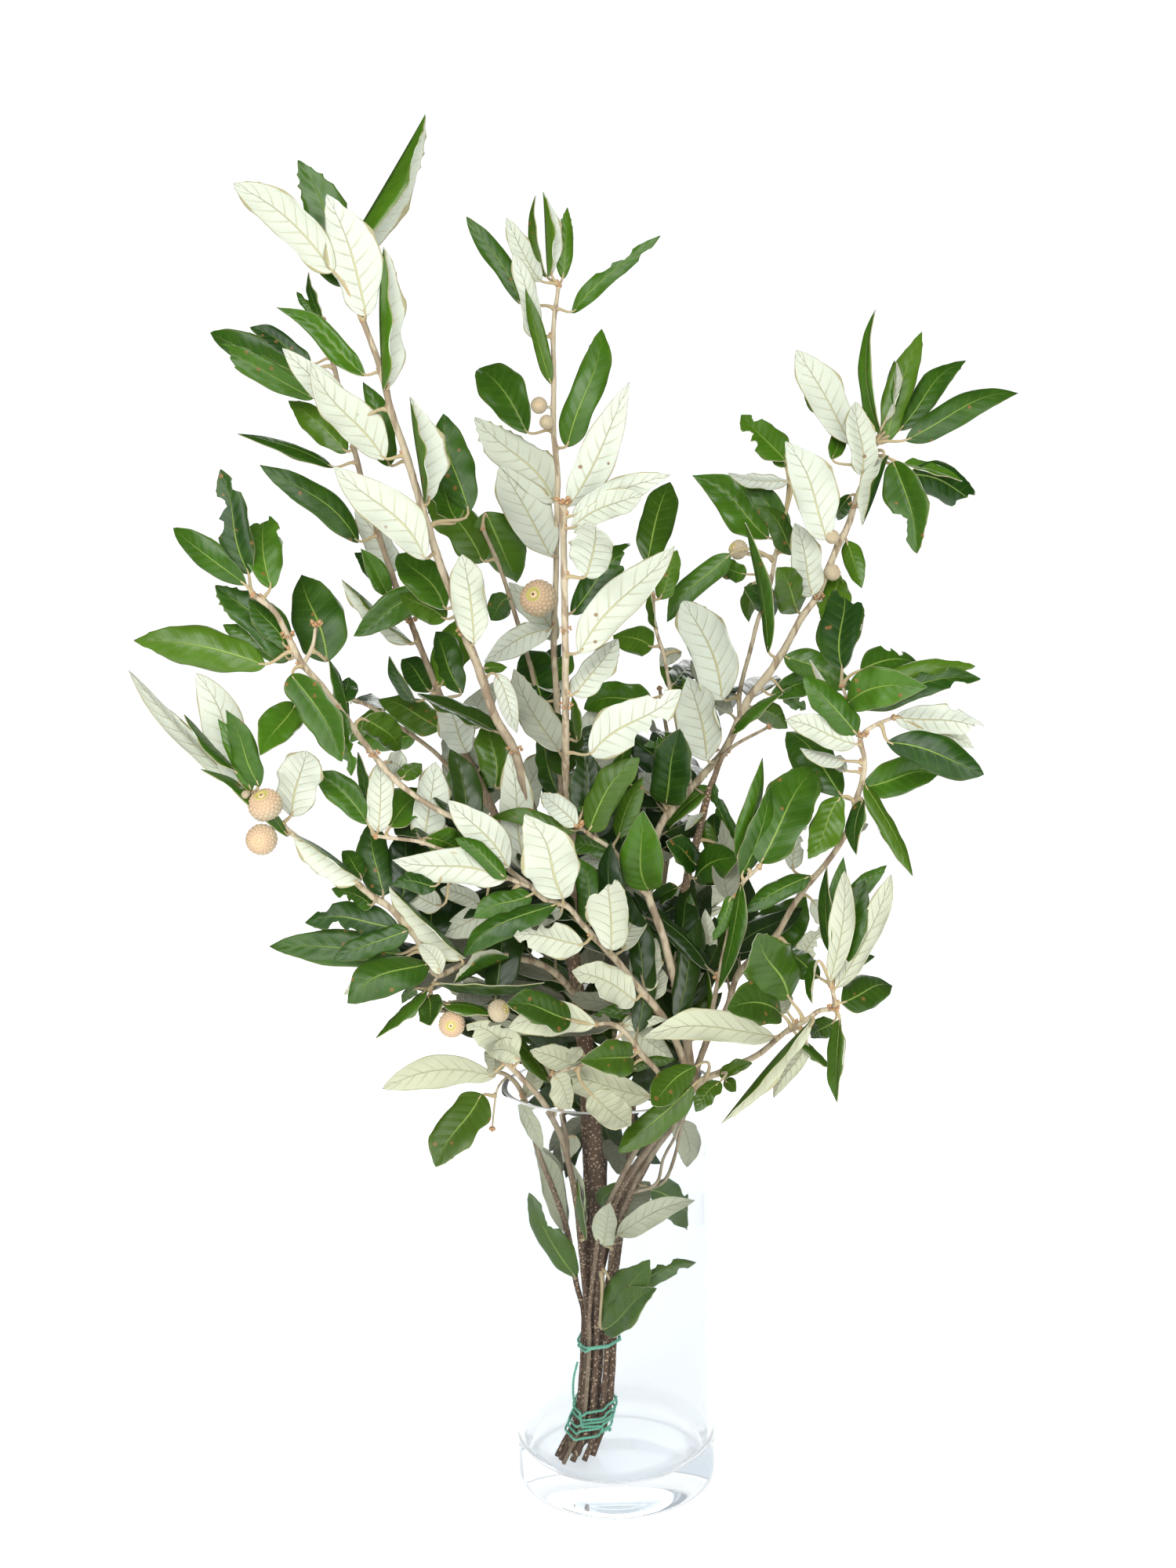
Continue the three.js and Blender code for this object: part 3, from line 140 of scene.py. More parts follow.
BRANCHES["branch_left_back"] = dict(foot=[-13, 7, 2.3, 16.5], routes=[
    [[-12.5,105,9,2.4],[-11.5,150,13,2.5],[-12,200,16,2.6],[-14,240,17,2.6],[-17,262,18,2.6],[-22,280,19,2.6],
     [-33,300,21,2.6],[-44,318,23,2.6],[-54.7,341.5,26,2.6],[-65.7,365.5,28,2.4],[-77,394,30,2.2],[-84,413,31,2.1],
     [-90,430,32,2],[-97,449,33,2],[-111,498,35,1.8],[-114,512,36,1.7],[-121,545,37,1.6],[-127,575,38,1.3]],
    [[-53,337,26,1.7],[-66,350,34,1.6],[-81,367,40,1.5],[-100,381.5,44,1.4],[-111,389.5,46,1.3],[-124,395.5,48,1.2]],
    [[-17,256,18,1.9],[-20,300,28,1.8],[-25,360,33,1.7],[-31,400,33,1.6],[-40,435,32,1.5],[-46,455,31,1.4],
     [-53.7,474,30,1.3]],
], leaves=[
    [-140,550,-181,570,G,14,3,6,0],[-134,554,-162,572,G,10,6,6,0],[-133,538,-177,563,G,12,-3,-4,3],
    [-118,512,-145,537,G,14,3,5,0],[-126,572,-133,597,G,5,2,2,5],[-130,576,-139,588,G,5,5,4,2],
    [-125,505,-170,522,G,7,-2,-6,5],[-114,469,-160,507,G,14,-4,-6,0],[-98,454,-115,485,W,14,4,6,0],
    [-100,443,-113,466,G,10,-3,-4,0],[-100,447,-116,464,G,10,6,4,0],[-82,396,-95,412,G,14,6,2,0],
    [-81,443,-118,424,G,15,-8,-10,0],[-91,419,-124,450,W,10,-5,-4,4],[-89,391,-101,414,G,7,-4,-2,5],
    [-77,378,-107,393,G,16,-3,4,0],[-64.7,366,-79,394,W,15,-10,-6,0],[-66,395,-78,425,G,15,-5,2,0],
    [-76,399,-62,434,G,18,-3,2,0],[-66,364,-70,342,G,12,5,3,0],[-52,482,-38,448,G,23,-2,0,0],
    [-54,458,-80,489,G,18,-4,4,0],[-42,441,-51,430,G,12,-2,2,0],[-90,375,-118,372,G,13,3,6,0],
    [-105,388,-122,372,G,10,4,4,0],[-60,350,-40,362,G,11,6,8,0],[-30,395,-12,412,G,12,6,10,0],
    [-14,250,-42,252,G,16,4,12,0],[-16,262,12,268,G,16,8,14,0],
])
BRANCHES["branch_right_tall"] = dict(foot=[-0.6, -1, 3, 16.5], routes=[
    [[1,110,-2,3],[2.5,131,-3,3],[10,150,-6,3],[21,167,-9,3],[30.5,178,-11,3],[38,188,-12,3],[41,199,-13,3],
     [41.3,208,-14,3],[38.3,229.5,-18,2.9],[35.2,246.6,-21,2.8],[32.1,260,-23,2.7],[29.5,271.8,-25,2.7],
     [25.7,283,-26,2.6],[22,295,-24,2.6],[22.5,306,-18,2.6],[28.7,327,-8,2.6],[34.5,335,-5,2.6],[42.6,343.5,-2,2.6],
     [50.7,352.5,0,2.6],[59.9,362.5,2,2.6],[67.4,376,4,2.6],[73.7,389.5,5,2.6],[82.7,400,6,2.7],[90.5,411.5,7,2.6],
     [100,428,8,2.4],[107,437,8,2.4],[113,451,8,2.4],[117,460,8,2.4],[123,472,8,2.3],[126,481,8,2.2],[132,496,8,2.2],
     [136,510,8,2]],
    [[22.5,293,-25,2],[15.9,299.8,-30,1.8],[10.5,309.8,-34,1.6],[4.5,317,-37,1.5],[-4.4,323,-40,1.3],
     [-11.6,329,-42,1.2]],
    [[44,345,-1,1.6],[41,362,5,1.5],[38,378,9,1.4],[35,395,11,1.3],[32.3,411.5,11,1.3],[28.7,424,10,1.2],
     [27.5,440,9,1.1]],
    [[68.5,378,5,1.7],[69,392,14,1.6],[75,414,21,1.5],[78.5,427,23,1.5],[84,441,24,1.5],[88,460,25,1.4],
     [92,475,26,1.3]],
], leaves=[
    [124,510,99,555,W,17,-2,6,0],[130,495,127,530,W,13,-4,-3,0],[139,514,137,573,G,7,-1,3,5],
    [141,510,159,562,G,13,4,5,0],[141,520,147,548,W,5.5,2,0,5],[143,520,146,549,G,5,6,3,5],
    [148,516,180,548,G,12,6,8,0],[151,511,205,532,G,13.5,0,8,0],[145,501,156,457,G,17,-7,-10,2],
    [150,500,178,491,G,6,4,2,5],[153,495,183.5,481,G,17,2,4,3],[141,505,128,472,W,10,-9,-8,4],
    [115,503,122,517,G,8,4,3,0],[115,522,102.5,534,G,7,8,4,2],[86,428,72,443,G,11,6,0,0],[98,430,88,452,G,16,8,0,0],
    [119,446,110,425,G,14,8,0,0],[124,486,118,474,G,8,4,0,0],[112,465,93,512,W,20.5,-6,-6,0],
    [105,438,97,473,W,14.5,-5,0,0],[122,464,129,441,G,10,3,-2,0],[117,449,112,426,G,11.5,4,2,0],
    [83,411,73,474,G,7,-6,-8,5],[60.8,388.5,42.2,437,W,24,-12,6,0],[52.6,359,43.8,400.5,W,22.5,-14,4,0],
    [91,409,125,392,G,14,-3,-6,0],[65,372,90,391,G,6,-5,-8,5],[84,390,108,398,G,12,5,6,0],[76,384,92,374,G,12,3,2,0],
    [90,392,101,383,G,8,4,4,2],[93,503,72,525,G,15,3,4,2],[93,500,86,517,G,9,6,4,0],[94,493,65,497.5,W,8,-3,-4,5],
    [84,466,48,497,G,20,5,6,0],[96,458,79,482,G,11,-7,-8,0],[94,469,71.5,496,G,12,2,4,0],
    [65.4,459,34.3,427,G,14,-4,-5,0],[73,449,58,452,G,10,3,3,0],[76,445,74,426,G,9,3,2,0],
    [25.4,455.5,37.1,494,G,18.5,2,5,0],[31.2,438,39.9,461.5,G,10,3,3,0],[29.2,424,27,443,G,4,-2,0,5],
    [27,415,8,421,G,15,2,4,0],[43,391,30.4,406,G,12,3,4,0],[41,412.5,30.5,406,W,8,2,2,0],[26,390,-7,386,G,16,3,6,0],
    [31.9,338.5,39.5,375,G,19,-5,-3,0],[20,361,38,372,G,8,2,4,2],[9,355,15,370.5,G,8,4,2,0],[27,343,19,354,W,9,-3,0,0],
    [-12,329,-29,345,W,10,-2,-3,1],[-12.5,326,-55.5,333,G,8,4,6,0],[4.4,314.6,-18.6,320,G,9,5,4,0],
    [10,309,-12,312,W,10,3,2,0],[-9,335,-3.8,361.6,G,14,2,3,0],[-6.3,326,19.4,361.5,G,15,-4,-4,0],
    [8,322,21,352,G,10,4,3,0],[22.5,296,20.7,335.5,G,19,-8,-8,0],[36,257,25,287,G,13,6,4,0],[33,245,49,254,W,8,2,4,5],
    [42.7,220.5,49,244.7,G,9,5,3,0],[50,222,50,258,G,3,3,4,5],[6,132,20,149,W,16,4,3,0],[-5,137,3,149,G,8,-2,0,0],
    [-6,73,19,109,G,17,-9,-5,0],
], cups=[
    [115,466,-6,7,"u"],[115,449,-6,8,"r"],[69.5,461,4,10,"l"],
])
BRANCHES["branch_right_dark"] = dict(foot=[-7.6, 8.3, 1.9, 16.5], routes=[
    [[-5,105,9,2],[4,135,10,2.1],[16,160,8,2.2],[30,180,4,2.3],[38,197,2,2.4],[40.5,222,3,2.5],[38,240,3,2.5],
     [36,262,2,2.5],[37,282,1,2.6],[40,292.5,0,2.6],[43.1,308.5,-2,2.5],[47.3,322,-5,2.4],[50.4,334.5,-8,2.3],
     [55.5,350,-10,2],[62,363,-10,1.3],[83,375,-8,0.9]],
], leaves=[
    [45.4,300.6,67.1,311,G,15,-6,-6,0],[46.6,307.5,31.7,319.8,G,12,-4,-3,0],[54,346,31,324,G,9,3,4,5],
    [50,333,41,325,W,4,-4,-3,5],[55.8,311,55.6,333,G,10,3,2,0],[50,330,54,310,G,7,3,3,0],
    [64.3,316,55.9,348,G,7,-3,0,2],[44,256,43,294,G,11,-4,0,0],[37,297,24,290,G,8,2,3,0],
    [51.5,260.6,50.3,286,W,8,-5,-4,0],
])
BRANCHES["branch_right_mid"] = dict(foot=[-2.5, 5.6, 2.4, 27], routes=[
    [[1,105,5,2.4],[6,132,4,2.4],[17,155,0,2.4],[27,172,-3,2.4],[36,185,-4,2.4],[42,198,-4,2.5],[46,210,-5,2.5],
     [51.6,223.5,-6,2.5],[60,236,-8,2.4],[65,251,-9,2.4],[72,260,-9,2.3],[85,272,-9,2.3],[92,284,-10,2.2],
     [99.5,295,-11,2.2],[110.9,308,-13,2.1],[120.7,323,-15,2],[125.9,340,-16,1.9],[128.9,350,-16,1.8],
     [129.5,358,-17,1.7],[127.9,369,-17,1.7],[135,374.5,-17,1.4],[144,378,-16,1]],
    [[128,368,-16,1.4],[122,385,-10,1.2],[119,394,-8,1]],
    [[49,216,-6,1.8],[52,232,-12,1.8],[56,250,-16,1.7],[60,268,-18,1.6],[64,285,-19,1.5],[68,297,-19,1.4],
     [77,306,-18,1.1]],
], leaves=[
    [128,401.5,157,403,G,13,-2,4,2],[119,402,120.5,441,G,18,5,5,3],[121.5,385.5,160.4,392.4,G,17,-3,-6,0],
    [126,389,183.8,402,G,9,4,8,1],[123,384,186.5,395.6,G,12,1,6,2],[125.7,370.2,100,399,G,13,-4,-4,0],
    [125,371,103.5,407,W,5,1,3,5],[125,365,91,378,W,12,-4,-6,0],[120,357,98,364,W,7,2,2,5],
    [145,378,188,371,W,13,-1,6,3],[160,371,183,362,W,8,4,8,0],[140.6,366,187.8,349,G,16,-4,-8,0],
    [128,344,165,349,G,16,4,5,0],[129.4,345.5,152.5,299.7,G,9,-4,-6,5],[128.8,338,125,311,G,8,-3,-5,5],
    [124,322,131,326,W,4,3,2,0],[117.5,340,101.3,309.5,G,13,-3,-6,0],[118,340,91.6,372,G,20,9,5,0],
    [120.5,352,111.5,359,W,6,3,3,0],[78,308,105.6,354.5,G,22,-2,4,0],[66,311,79.5,359.7,G,9,4,5,5],
    [68,302,82.9,345.4,G,11,0,3,5],[68,297.7,55.8,244.9,G,8,-5,-6,5],[63,292,54,270,G,7,-2,-2,2],
    [102,301,69,283,G,11,-4,-8,0],[80,266,100,291,G,23,3,3,0],[93,304.5,100.4,331,W,9,3,4,2],
    [97,258,110,276,W,9,5,5,2],[103,289,110,277,W,9,3,3,2],[20,145,48,127,G,17,5,3,2],
])
BRANCHES["branch_right_low"] = dict(foot=[-3.6, -6.3, 2, 16.5], routes=[
    [[-1,105,-8,2],[4.5,131,-12,2],[13,150,-16,2],[24,167,-19,2.1],[33,179,-20,2.2],[39,189,-20,2.2],
     [42.5,195,-20,2.2],[47.8,200,-20,2.2],[57.1,204,-21,2.2],[66.2,208,-23,2.1],[75.6,212.5,-26,2],[87.2,222,-30,1.8],
     [93,225.6,-32,1.8],[99.8,229.3,-34,1.7],[105.6,233.5,-35,1.6],[112.9,235.2,-36,1.6],[112,246,-35,1.2]],
    [[16,139,-16,1.3],[23,148,-13,1.2],[27,161,-11,1.1],[33,172,-12,1.1],[38,184,-13,1]],
    [[17,142,-16,1.3],[27,149,-6,1.3],[33,163,-6,1.2],[36,176,-7,1.1],[40,188,-8,1]],
], leaves=[
    [111.5,248,119,303,W,10,-3,-6,0],[112,262,110.5,305.5,G,6,4,2,5],[117,268,118.7,310,G,9,5,4,0],
    [118,282,139.8,305.3,G,8,8,5,0],[117,256,129,298,G,12,2,3,0],[115,245,142,300.6,W,11,-3,-5,0],
    [120,255,133.5,260,G,5,5,4,0],[117,237,142,245,G,15,-2,4,0],[104.7,259,102.2,237.3,G,4,-4,-3,5],
    [116,229,114,187,G,8,-2,-6,5],[113.5,228,101.6,220,G,10,3,2,0],[103,228,57.5,176.5,W,8,-5,-10,4],
    [99.6,217.5,82.5,190,W,8,1,-4,0],[94,222,111.9,204,G,4,0,3,5],[86.7,232.6,59.9,235.5,G,17,-4,-5,0],
    [90,233,85,245,W,10,3,3,0],[91,240,76,273,G,21,-3,-4,0],[106,250,88,262,G,12,3,4,0],[83,221,18,222,W,14,-8,-12,0],
    [56,202,72.2,208,G,6,-5,-6,0],[58.2,200,63.8,193.7,G,6,-4,-4,0],[55.9,199,43.5,184,G,8,-28,-9,0],
    [43.8,207,21.8,188,G,13,-30,-10,0],[42,197,4.5,164,G,14,-33,-8,0],[-4,117,0,139,W,12.5,-6,-2,0],
    [3,122,42,139,W,11,-3,-2,0],[37,180,39,156,W,13,2,2,0],
])
BRANCHES["branch_left_front"] = dict(foot=[-8.6, -6.6, 2.3, 16.5], routes=[
    [[-6,105,-9,2.3],[-1,131,-15,2.4],[8,150,-21,2.4],[20,167,-26,2.5],[30,180,-28,2.5],[36,193,-28,2.5],
     [39,205,-28,2.5],[36,216,-30,2.5],[30.3,228.6,-31,2.5],[23.7,238.8,-33,2.5],[17,246.7,-35,2.4],[9.3,257,-37,2.3],
     [3.2,264.3,-39,2.2],[-3.4,271.6,-40,2],[-10.6,280,-42,1.9],[-17.8,289,-43,1.8],[-28.5,292.5,-44,1.8],
     [-35,299,-44,1.8],[-45,307,-44,1.8],[-55,318,-44,1.9],[-67.5,331.5,-44,1.9],[-78.7,337.5,-44,1.9],
     [-89.8,344.8,-43,1.9],[-100.7,353.8,-43,1.9],[-111.5,367.5,-42,2],[-117,375,-42,2],[-128.5,392,-41,2],
     [-135,401,-41,2],[-143.5,411.5,-40,2],[-150,425,-40,2],[-156,437,-40,1.9],[-166,445,-40,1.6]],
    [[-34,298,-44,1.5],[-45,303,-48,1.5],[-56,308,-49,1.4],[-68,315,-48,1.4],[-79.7,319,-46,1.3],[-89.2,322.7,-44,1.3],
     [-101.6,324.7,-42,1.2],[-110.7,326,-40,1.2]],
    [[-143,411,-40,1.5],[-138,420,-38,1.3],[-136,430,-37,1.2]],
], leaves=[
    [-169,450,-203,478,G,11,0,5,0],[-167.5,455,-179,505.5,G,13,4,5,2],[-157,448,-159,482,G,15.5,3,2,3],
    [-161.5,411,-224.6,424.5,G,17,-2,4,0],[-150,413,-184,450,G,16,4,4,1],[-150,413,-181,431,G,10,7,4,0],
    [-151,419,-168,443,G,10,2,2,0],[-131,412,-142,454,G,22,9,6,0],[-149,406,-126,363,G,14.5,-5,-8,0],
    [-147,392,-166,367,G,15,3,-2,0],[-124,392,-121,404,G,10,4,2,0],[-122,383,-130.5,413,G,6,4,2,5],
    [-126.4,388.5,-121.6,356,G,8,-4,-4,2],[-113.8,384,-97.5,366.8,G,14,7,3,0],[-103.5,363,-94,356,W,11,5,2,0],
    [-97,354,-87,361,G,8,4,3,0],[-19.4,293,-37.4,335,W,21,-5,-6,0],[-23,290,-69.6,265.5,G,12,-4,-10,0],
    [-20,287,-32,279,W,7,3,2,0],[-10.3,269.2,-44.3,275,W,14,-6,-6,2],[3.6,266.5,2,303,W,18,-7,-5,3],
    [18.7,246,25.5,272,W,14,3,3,0],[9.5,266,17.9,284.5,W,12,6,4,0],[24,241,27,257,W,9,6,4,0],
    [14.4,240.4,-16,256.7,W,17,-6,-8,2],[26,233,-6,234,G,8,5,3,0],[-5.5,280,-11.5,312.5,G,12,7,4,0],
    [-113.9,332,-139.4,358,G,12,3,5,0],[-109.4,328,-107.2,363.5,W,12,4,4,0],[-113,330,-118,367.6,G,6,9,4,5],
    [-103.7,330.5,-84,348.7,G,15,4,5,0],[-87.6,322.7,-80.3,361.8,W,15,12,8,0],[-86,325,-66,318,G,12,4,5,0],
    [-48,302.6,-103,314,W,16,-4,-5,0],[-82,300,-104,301.5,G,8,-8,-4,0],[-46,309,-75,343,W,14,-7,-3,0],
    [-47.4,303.7,-72.1,324,G,9,-7,-5,1],[-35.2,295,-64,284.6,G,11,-3,-4,0],[-48,285.5,-81.3,276.7,W,13,16,6,0],
    [-60,290,-80,299,W,9,14,6,0],[-80,290,-101,299,W,11,14,4,0],[-5,73,22,94,G,14,-5,-6,0],[4,92,42,107,G,9,-4,3,2],
])
BRANCHES["branch_rim_left"] = dict(foot=[-13.6, -5.2, 1.7, 16.5], routes=[
    [[-15,111,-8,1.8],[-17,139,-13,1.9],[-20,157.5,-18,1.9],[-23.2,171.8,-22,1.9],[-28,183,-26,1.9],
     [-33.1,192,-29,1.9],[-39.7,200,-32,1.8],[-47.5,208.5,-35,1.6],[-52,213,-36,1.3]],
    [[-28,183,-26,1.2],[-25.5,185.5,-25,1],[-23.5,187,-24,0.9]],
    [[-20,157,-18,1.3],[-21,172,-12,1.2],[-24,186,-8,1.1],[-27,200,-6,1.1],[-32,214,-4,1]],
], leaves=[
    [-45,214,-69,231,W,14,-3,-3,2],[-56,206,-57,222,W,9,-1,2,0],[-43,213,-57,217,W,10,-5,-4,0],
    [-29,201,-54,231,G,8,-8,-5,5],[-15,126,-19,160,W,5,-3,0,5],[-13,120,-16,152,G,4,-4,0,5],
    [-16,173,-23,160,W,8,2,0,0],
])
BRANCHES["branch_rim_outer"] = dict(foot=[-15.3, -1.4, 1.8, 16.5], routes=[
    [[-18,97,-2,1.8],[-22,125,-4,1.8],[-28,145,-6,1.8],[-34.5,163,-8,1.7],[-38.5,180,-10,1.7],[-42,194,-12,1.6],
     [-46.5,202,-14,1.5],[-52,206,-16,1.4],[-56,207,-17,1.2]],
    [[-50,205,-15,0.9],[-54.5,199,-20,0.7],[-56.8,188,-21,0.6],[-58,178,-21,0.5]],
], leaves=[
    [-55.7,204.5,-112,199.7,W,13.5,-2,4,0],[-62.8,195.7,-86.9,159.2,G,18,-6,-10,0],[-41.5,193,-30,219,W,8,4,2,0],
    [-43.5,192,-33,166,W,7,-3,0,0],[-23,124,-33,168,W,11,8,2,0],[-18.5,101,-40.5,145,G,12.5,-3,-5,2],
    [-23,126,-38,170,W,10,6,4,0],
])
BRANCHES["branch_centre_low"] = dict(foot=[-12.4, -8.8, 1.4, 16.5], routes=[
    [[-9,105,-13,1.5],[-4,131,-20,1.5],[6,152,-27,1.6],[17,172,-33,1.7],[25,186,-37,1.7],[29,196,-39,1.7],
     [25.6,204,-41,1.7],[17.1,214,-43,1.6],[9.3,225,-45,1.5],[3,229.5,-46,1.4],[-5,229.5,-46,1]],
    [[9.3,225,-45,1.1],[-6,212,-48,1],[-20,207,-49,1],[-27,205,-49,0.9]],
], leaves=[
    [-5.1,229.5,-48.5,229,W,14,-2,-6,0],[-17.6,232,-49,241,G,14,-7,-6,0],[13,212.5,-14,211,G,15,-4,-4,0],
    [-13.2,205.8,-38.3,217.2,W,11,3,4,0],[21.5,192,-27,204,W,14,-3,-3,0],[-8.3,194,11,178,W,15,-8,-5,0],
    [-26.5,204,-18.5,187,W,11,-4,-3,0],[-13,218,-20,210,W,6,4,0,0],[8,230,33,211,W,13,6,2,0],[8,228,30,231,W,6,5,3,0],
    [12,206,34,211,G,5,5,2,0],
])

# How far each route swings back (+) or forward (-): the first number counts for every 100 mm above the rim,
# the others for every 100 mm along that side twig.
LEAN = {
    "branch_centre": [-10, 24, 2, -12],
    "branch_left_back": [12, 8, -6],
    "branch_right_tall": [12, -20, 6, 14],
    "branch_right_dark": [15],
    "branch_right_mid": [-15, 10, -8],
    "branch_right_low": [-40],
    "branch_left_front": [-12, -10, 10],
}
# Young growth on the far side: leaves are set round the stem in a spiral.
BACK_STEMS = {
    "branch_back_right": {
        "foot": [-2.2, 10.8, 2, 16.5],
        "routes": [[
            [2, 105, 16, 2.1], [8, 150, 24, 2.2], [14, 200, 34, 2.2], [22, 250, 50, 2.1], [30, 300, 64, 1.9],
            [36, 345, 76, 1.6], [30, 395, 86, 1.2],
        ]],
        "count": 26, "first": 3,
    },
    "branch_back_left": {
        "foot": [-12, 11.6, 1.8, 16.5],
        "routes": [[
            [-13, 105, 17, 1.9], [-18, 150, 25, 2], [-26, 200, 33, 2], [-38, 250, 50, 1.9], [-52, 290, 66, 1.7],
            [-62, 325, 78, 1.5], [-72, 355, 88, 1.1],
        ]],
        "count": 24, "first": 41,
    },
    "branch_back_low": {
        "foot": [-7, 12.9, 1.8, 16.5],
        "routes": [[
            [-5, 105, 18, 1.9], [-3, 150, 28, 2], [0, 200, 37, 2], [6, 236, 54, 1.9], [12, 262, 74, 1.7],
            [16, 286, 94, 1.1],
        ]],
        "count": 20, "first": 83,
    },
}
# Leaves at the heart of the bunch, darkened with painted shade: foot x z, tip x z, side, width, depth y.
DEEP_LEAVES = {
    "branch_left_back": [
        [-14,205,-44,233,G,15,22],[-13,198,-40,191,G,12,19],[-14,214,-47,213,G,14,26],[-16,232,-52,240,G,16,28],
        [-13,188,-36,208,G,10,18],[-12,182,-30,166,W,10,16],[-18,246,-50,262,G,16,34],[-30,300,-62,300,G,17,40],
        [-14,222,-34,246,G,14,20],[-13,176,-22,152,G,8,14],
    ],
    "branch_right_dark": [
        [38,204,8,226,G,15,14],[37,199,10,197,G,15,16],[38,216,12,238,G,15,18],[39,226,58,244,G,12,14],
        [38,236,14,256,G,15,20],[37,212,22,190,G,13,12],[38,250,60,262,G,14,16],[40,290,16,276,G,15,22],
    ],
    "branch_back_low": [
        [-4,186,6,157,G,14,22],[0,200,28,214,G,14,32],[0,206,-26,226,G,15,34],[3,226,22,250,G,15,42],
        [-3,170,12,150,W,10,20],[2,220,-24,246,G,15,40],[-2,192,16,178,G,12,24],[6,238,36,236,G,15,48],
        [8,250,-16,268,G,15,56],[-4,178,-20,196,G,12,26],
    ],
    "branch_back_right": [
        [12,196,34,190,G,11,26],[14,204,42,222,G,14,34],[18,226,48,250,G,15,44],[9,168,26,158,G,9,22],
        [24,262,52,276,G,16,54],[26,276,-2,290,G,16,58],
    ],
    "branch_back_left": [
        [-20,176,-30,150,W,9,26],[-24,196,-42,216,G,12,34],[-30,222,-58,232,G,14,42],[-40,254,-70,262,G,16,52],
        [-34,240,-12,262,G,15,50],
    ],
}
# Spots left open between the leaves: x, z, radius on the table plane.
OPEN_SPOTS = [
    (-35, 378, 5), (-46, 340, 3), (12, 410, 9), (22, 443, 5), (70, 345, 12), (62, 358, 7), (80, 362, 11),
    (57, 237, 5), (33, 301, 4), (83, 300, 6), (-95, 365, 8), (-88, 375, 5), (50, 318, 4), (18, 403, 8), (30, 405, 5),
    (70, 240, 4), (95, 330, 9), (85, 255, 3),
]
# Leaves folded back along the midrib, by their row in the table: the share of the leaf that its near half
# covers, and whether that half lies to the right.
FOLDED = {
    "branch_centre": {
        19: (0.5, True), 32: (0.5, True), 33: (0.4, True), 38: (0.25, True), 54: (0.18, False), 57: (0.2, False),
        68: (0.65, True),
    },
    "branch_left_back": {14: (0.3, False)},
    "branch_right_tall": {12: (0.3, True)},
    "branch_right_low": {12: (0.35, False)},
}
# Knots with a ring of buds: x, z, size.
BUD_CLUSTERS = {
    "branch_centre": [
        (-14.7, 485, 1.2), (-15.8, 388, 0.9), (-42, 367, 0.9), (-64.8, 425, 0.9), (-15, 424, 0.8), (-88, 262, 1.0),
    ],
    "branch_right_tall": [(-11.6, 329, 1.3), (60, 362, 0.9), (107, 437, 1.0), (126, 481, 0.9)],
    "branch_left_back": [(-46, 318, 1.1), (-90, 430, 1.0)],
    "branch_right_mid": [(128, 369, 1.1), (56, 250, 0.8)],
    "branch_left_front": [(-136, 429, 1.2), (-111, 367, 0.9), (-150, 425, 1.0)],
    "branch_right_low": [(112.9, 235.2, 1.0)],
}
# Where the mouth of a cup points.
CUP_AIM = {
    "a": (-0.32, -0.92, 0.25), "f": (-0.02, -0.97, 0.06), "c": (-0.1, -0.97, 0.02), "l": (-0.8, -0.5, 0.35),
    "r": (0.8, -0.5, 0.35), "u": (-0.15, -0.62, 0.78),
}
LIT_FROM = np.array([-0.35, -0.5, 0.75])
# Share of the table's radius that the bare stem has between its joints.
SLIM_MOST = 0.78
SLIM = {
    "branch_left_front": 0.68, "branch_right_mid": 0.65, "branch_right_tall": 0.72, "branch_right_low": 0.7,
}
# How old the wood of a branch looks at the rim, 0 young felt to 1 dark bark, and how fast that fades upwards.
WOOD_AGE = {
    "branch_centre": (0.78, 0.42), "branch_left_back": (0.72, 0.16), "branch_right_tall": (0.26, 0.3),
    "branch_right_dark": (0.8, 0.05), "branch_right_mid": (0.46, 0.35), "branch_right_low": (0.2, 0.5),
    "branch_left_front": (0.36, 0.35), "branch_rim_left": (0.3, 0.4), "branch_rim_outer": (0.3, 0.4),
    "branch_centre_low": (0.35, 0.4), "branch_back_right": (0.5, 0.3), "branch_back_left": (0.5, 0.3),
    "branch_back_low": (0.5, 0.3),
}
# How much older (+) or younger (-) than that each route of the middle branch looks.
CENTRE_AGES = (0, 0.1, 0.12, -0.38, -0.5, -0.5)
OLD_BRANCHES = ("branch_left_back", "branch_right_dark")


# ---------------------------------------------------------------- settings
def colour(label, text, value):
    return FloatVectorProperty(name=label, description=text, subtype="COLOR", size=3, min=0, max=1, default=value)


def measure(label, text, value):
    return FloatProperty(name=label, description=text, default=value, unit="LENGTH")


def angle(label, text, degrees):
    return FloatProperty(name=label, description=text, default=math.radians(degrees), subtype="ANGLE")


def amount(label, text, value, low, high):
    return FloatProperty(name=label, description=text, default=value, min=low, max=high)


def count(label, text, value, low, high):
    return IntProperty(name=label, description=text, default=value, min=low, max=high)


class HolmOakLeafSettings(bpy.types.PropertyGroup):
    thickness: measure("Blade Thickness", "Thickness of a leaf blade", 0.00045)
    along: count("Rows", "Faces along a blade", 41, 12, 80)
    across: count("Columns", "Faces across a blade", 10, 4, 16)
    upper_dark: colour("Upper Dark", "Darkest green of the glossy side", (0.011, 0.046, 0.002))
    upper_light: colour("Upper Light", "Lightest green of the glossy side", (0.070, 0.183, 0.006))
    upper_rib: colour("Upper Midrib", "Midrib on the glossy side", (0.24, 0.36, 0.06))
    under_pale: colour("Under Pale", "Felted underside", (0.605, 0.652, 0.56))
    # also the felt of leaves with painted shade deep in the bunch
    under_shade: colour("Under Shade", "Duller felt of older leaves", (0.53, 0.57, 0.46))
    under_rib: colour("Under Rib", "Ribs on the underside", (0.52, 0.49, 0.24))
    stalk: colour("Leaf Stalk", "Stalk of a leaf", (0.45, 0.36, 0.20))


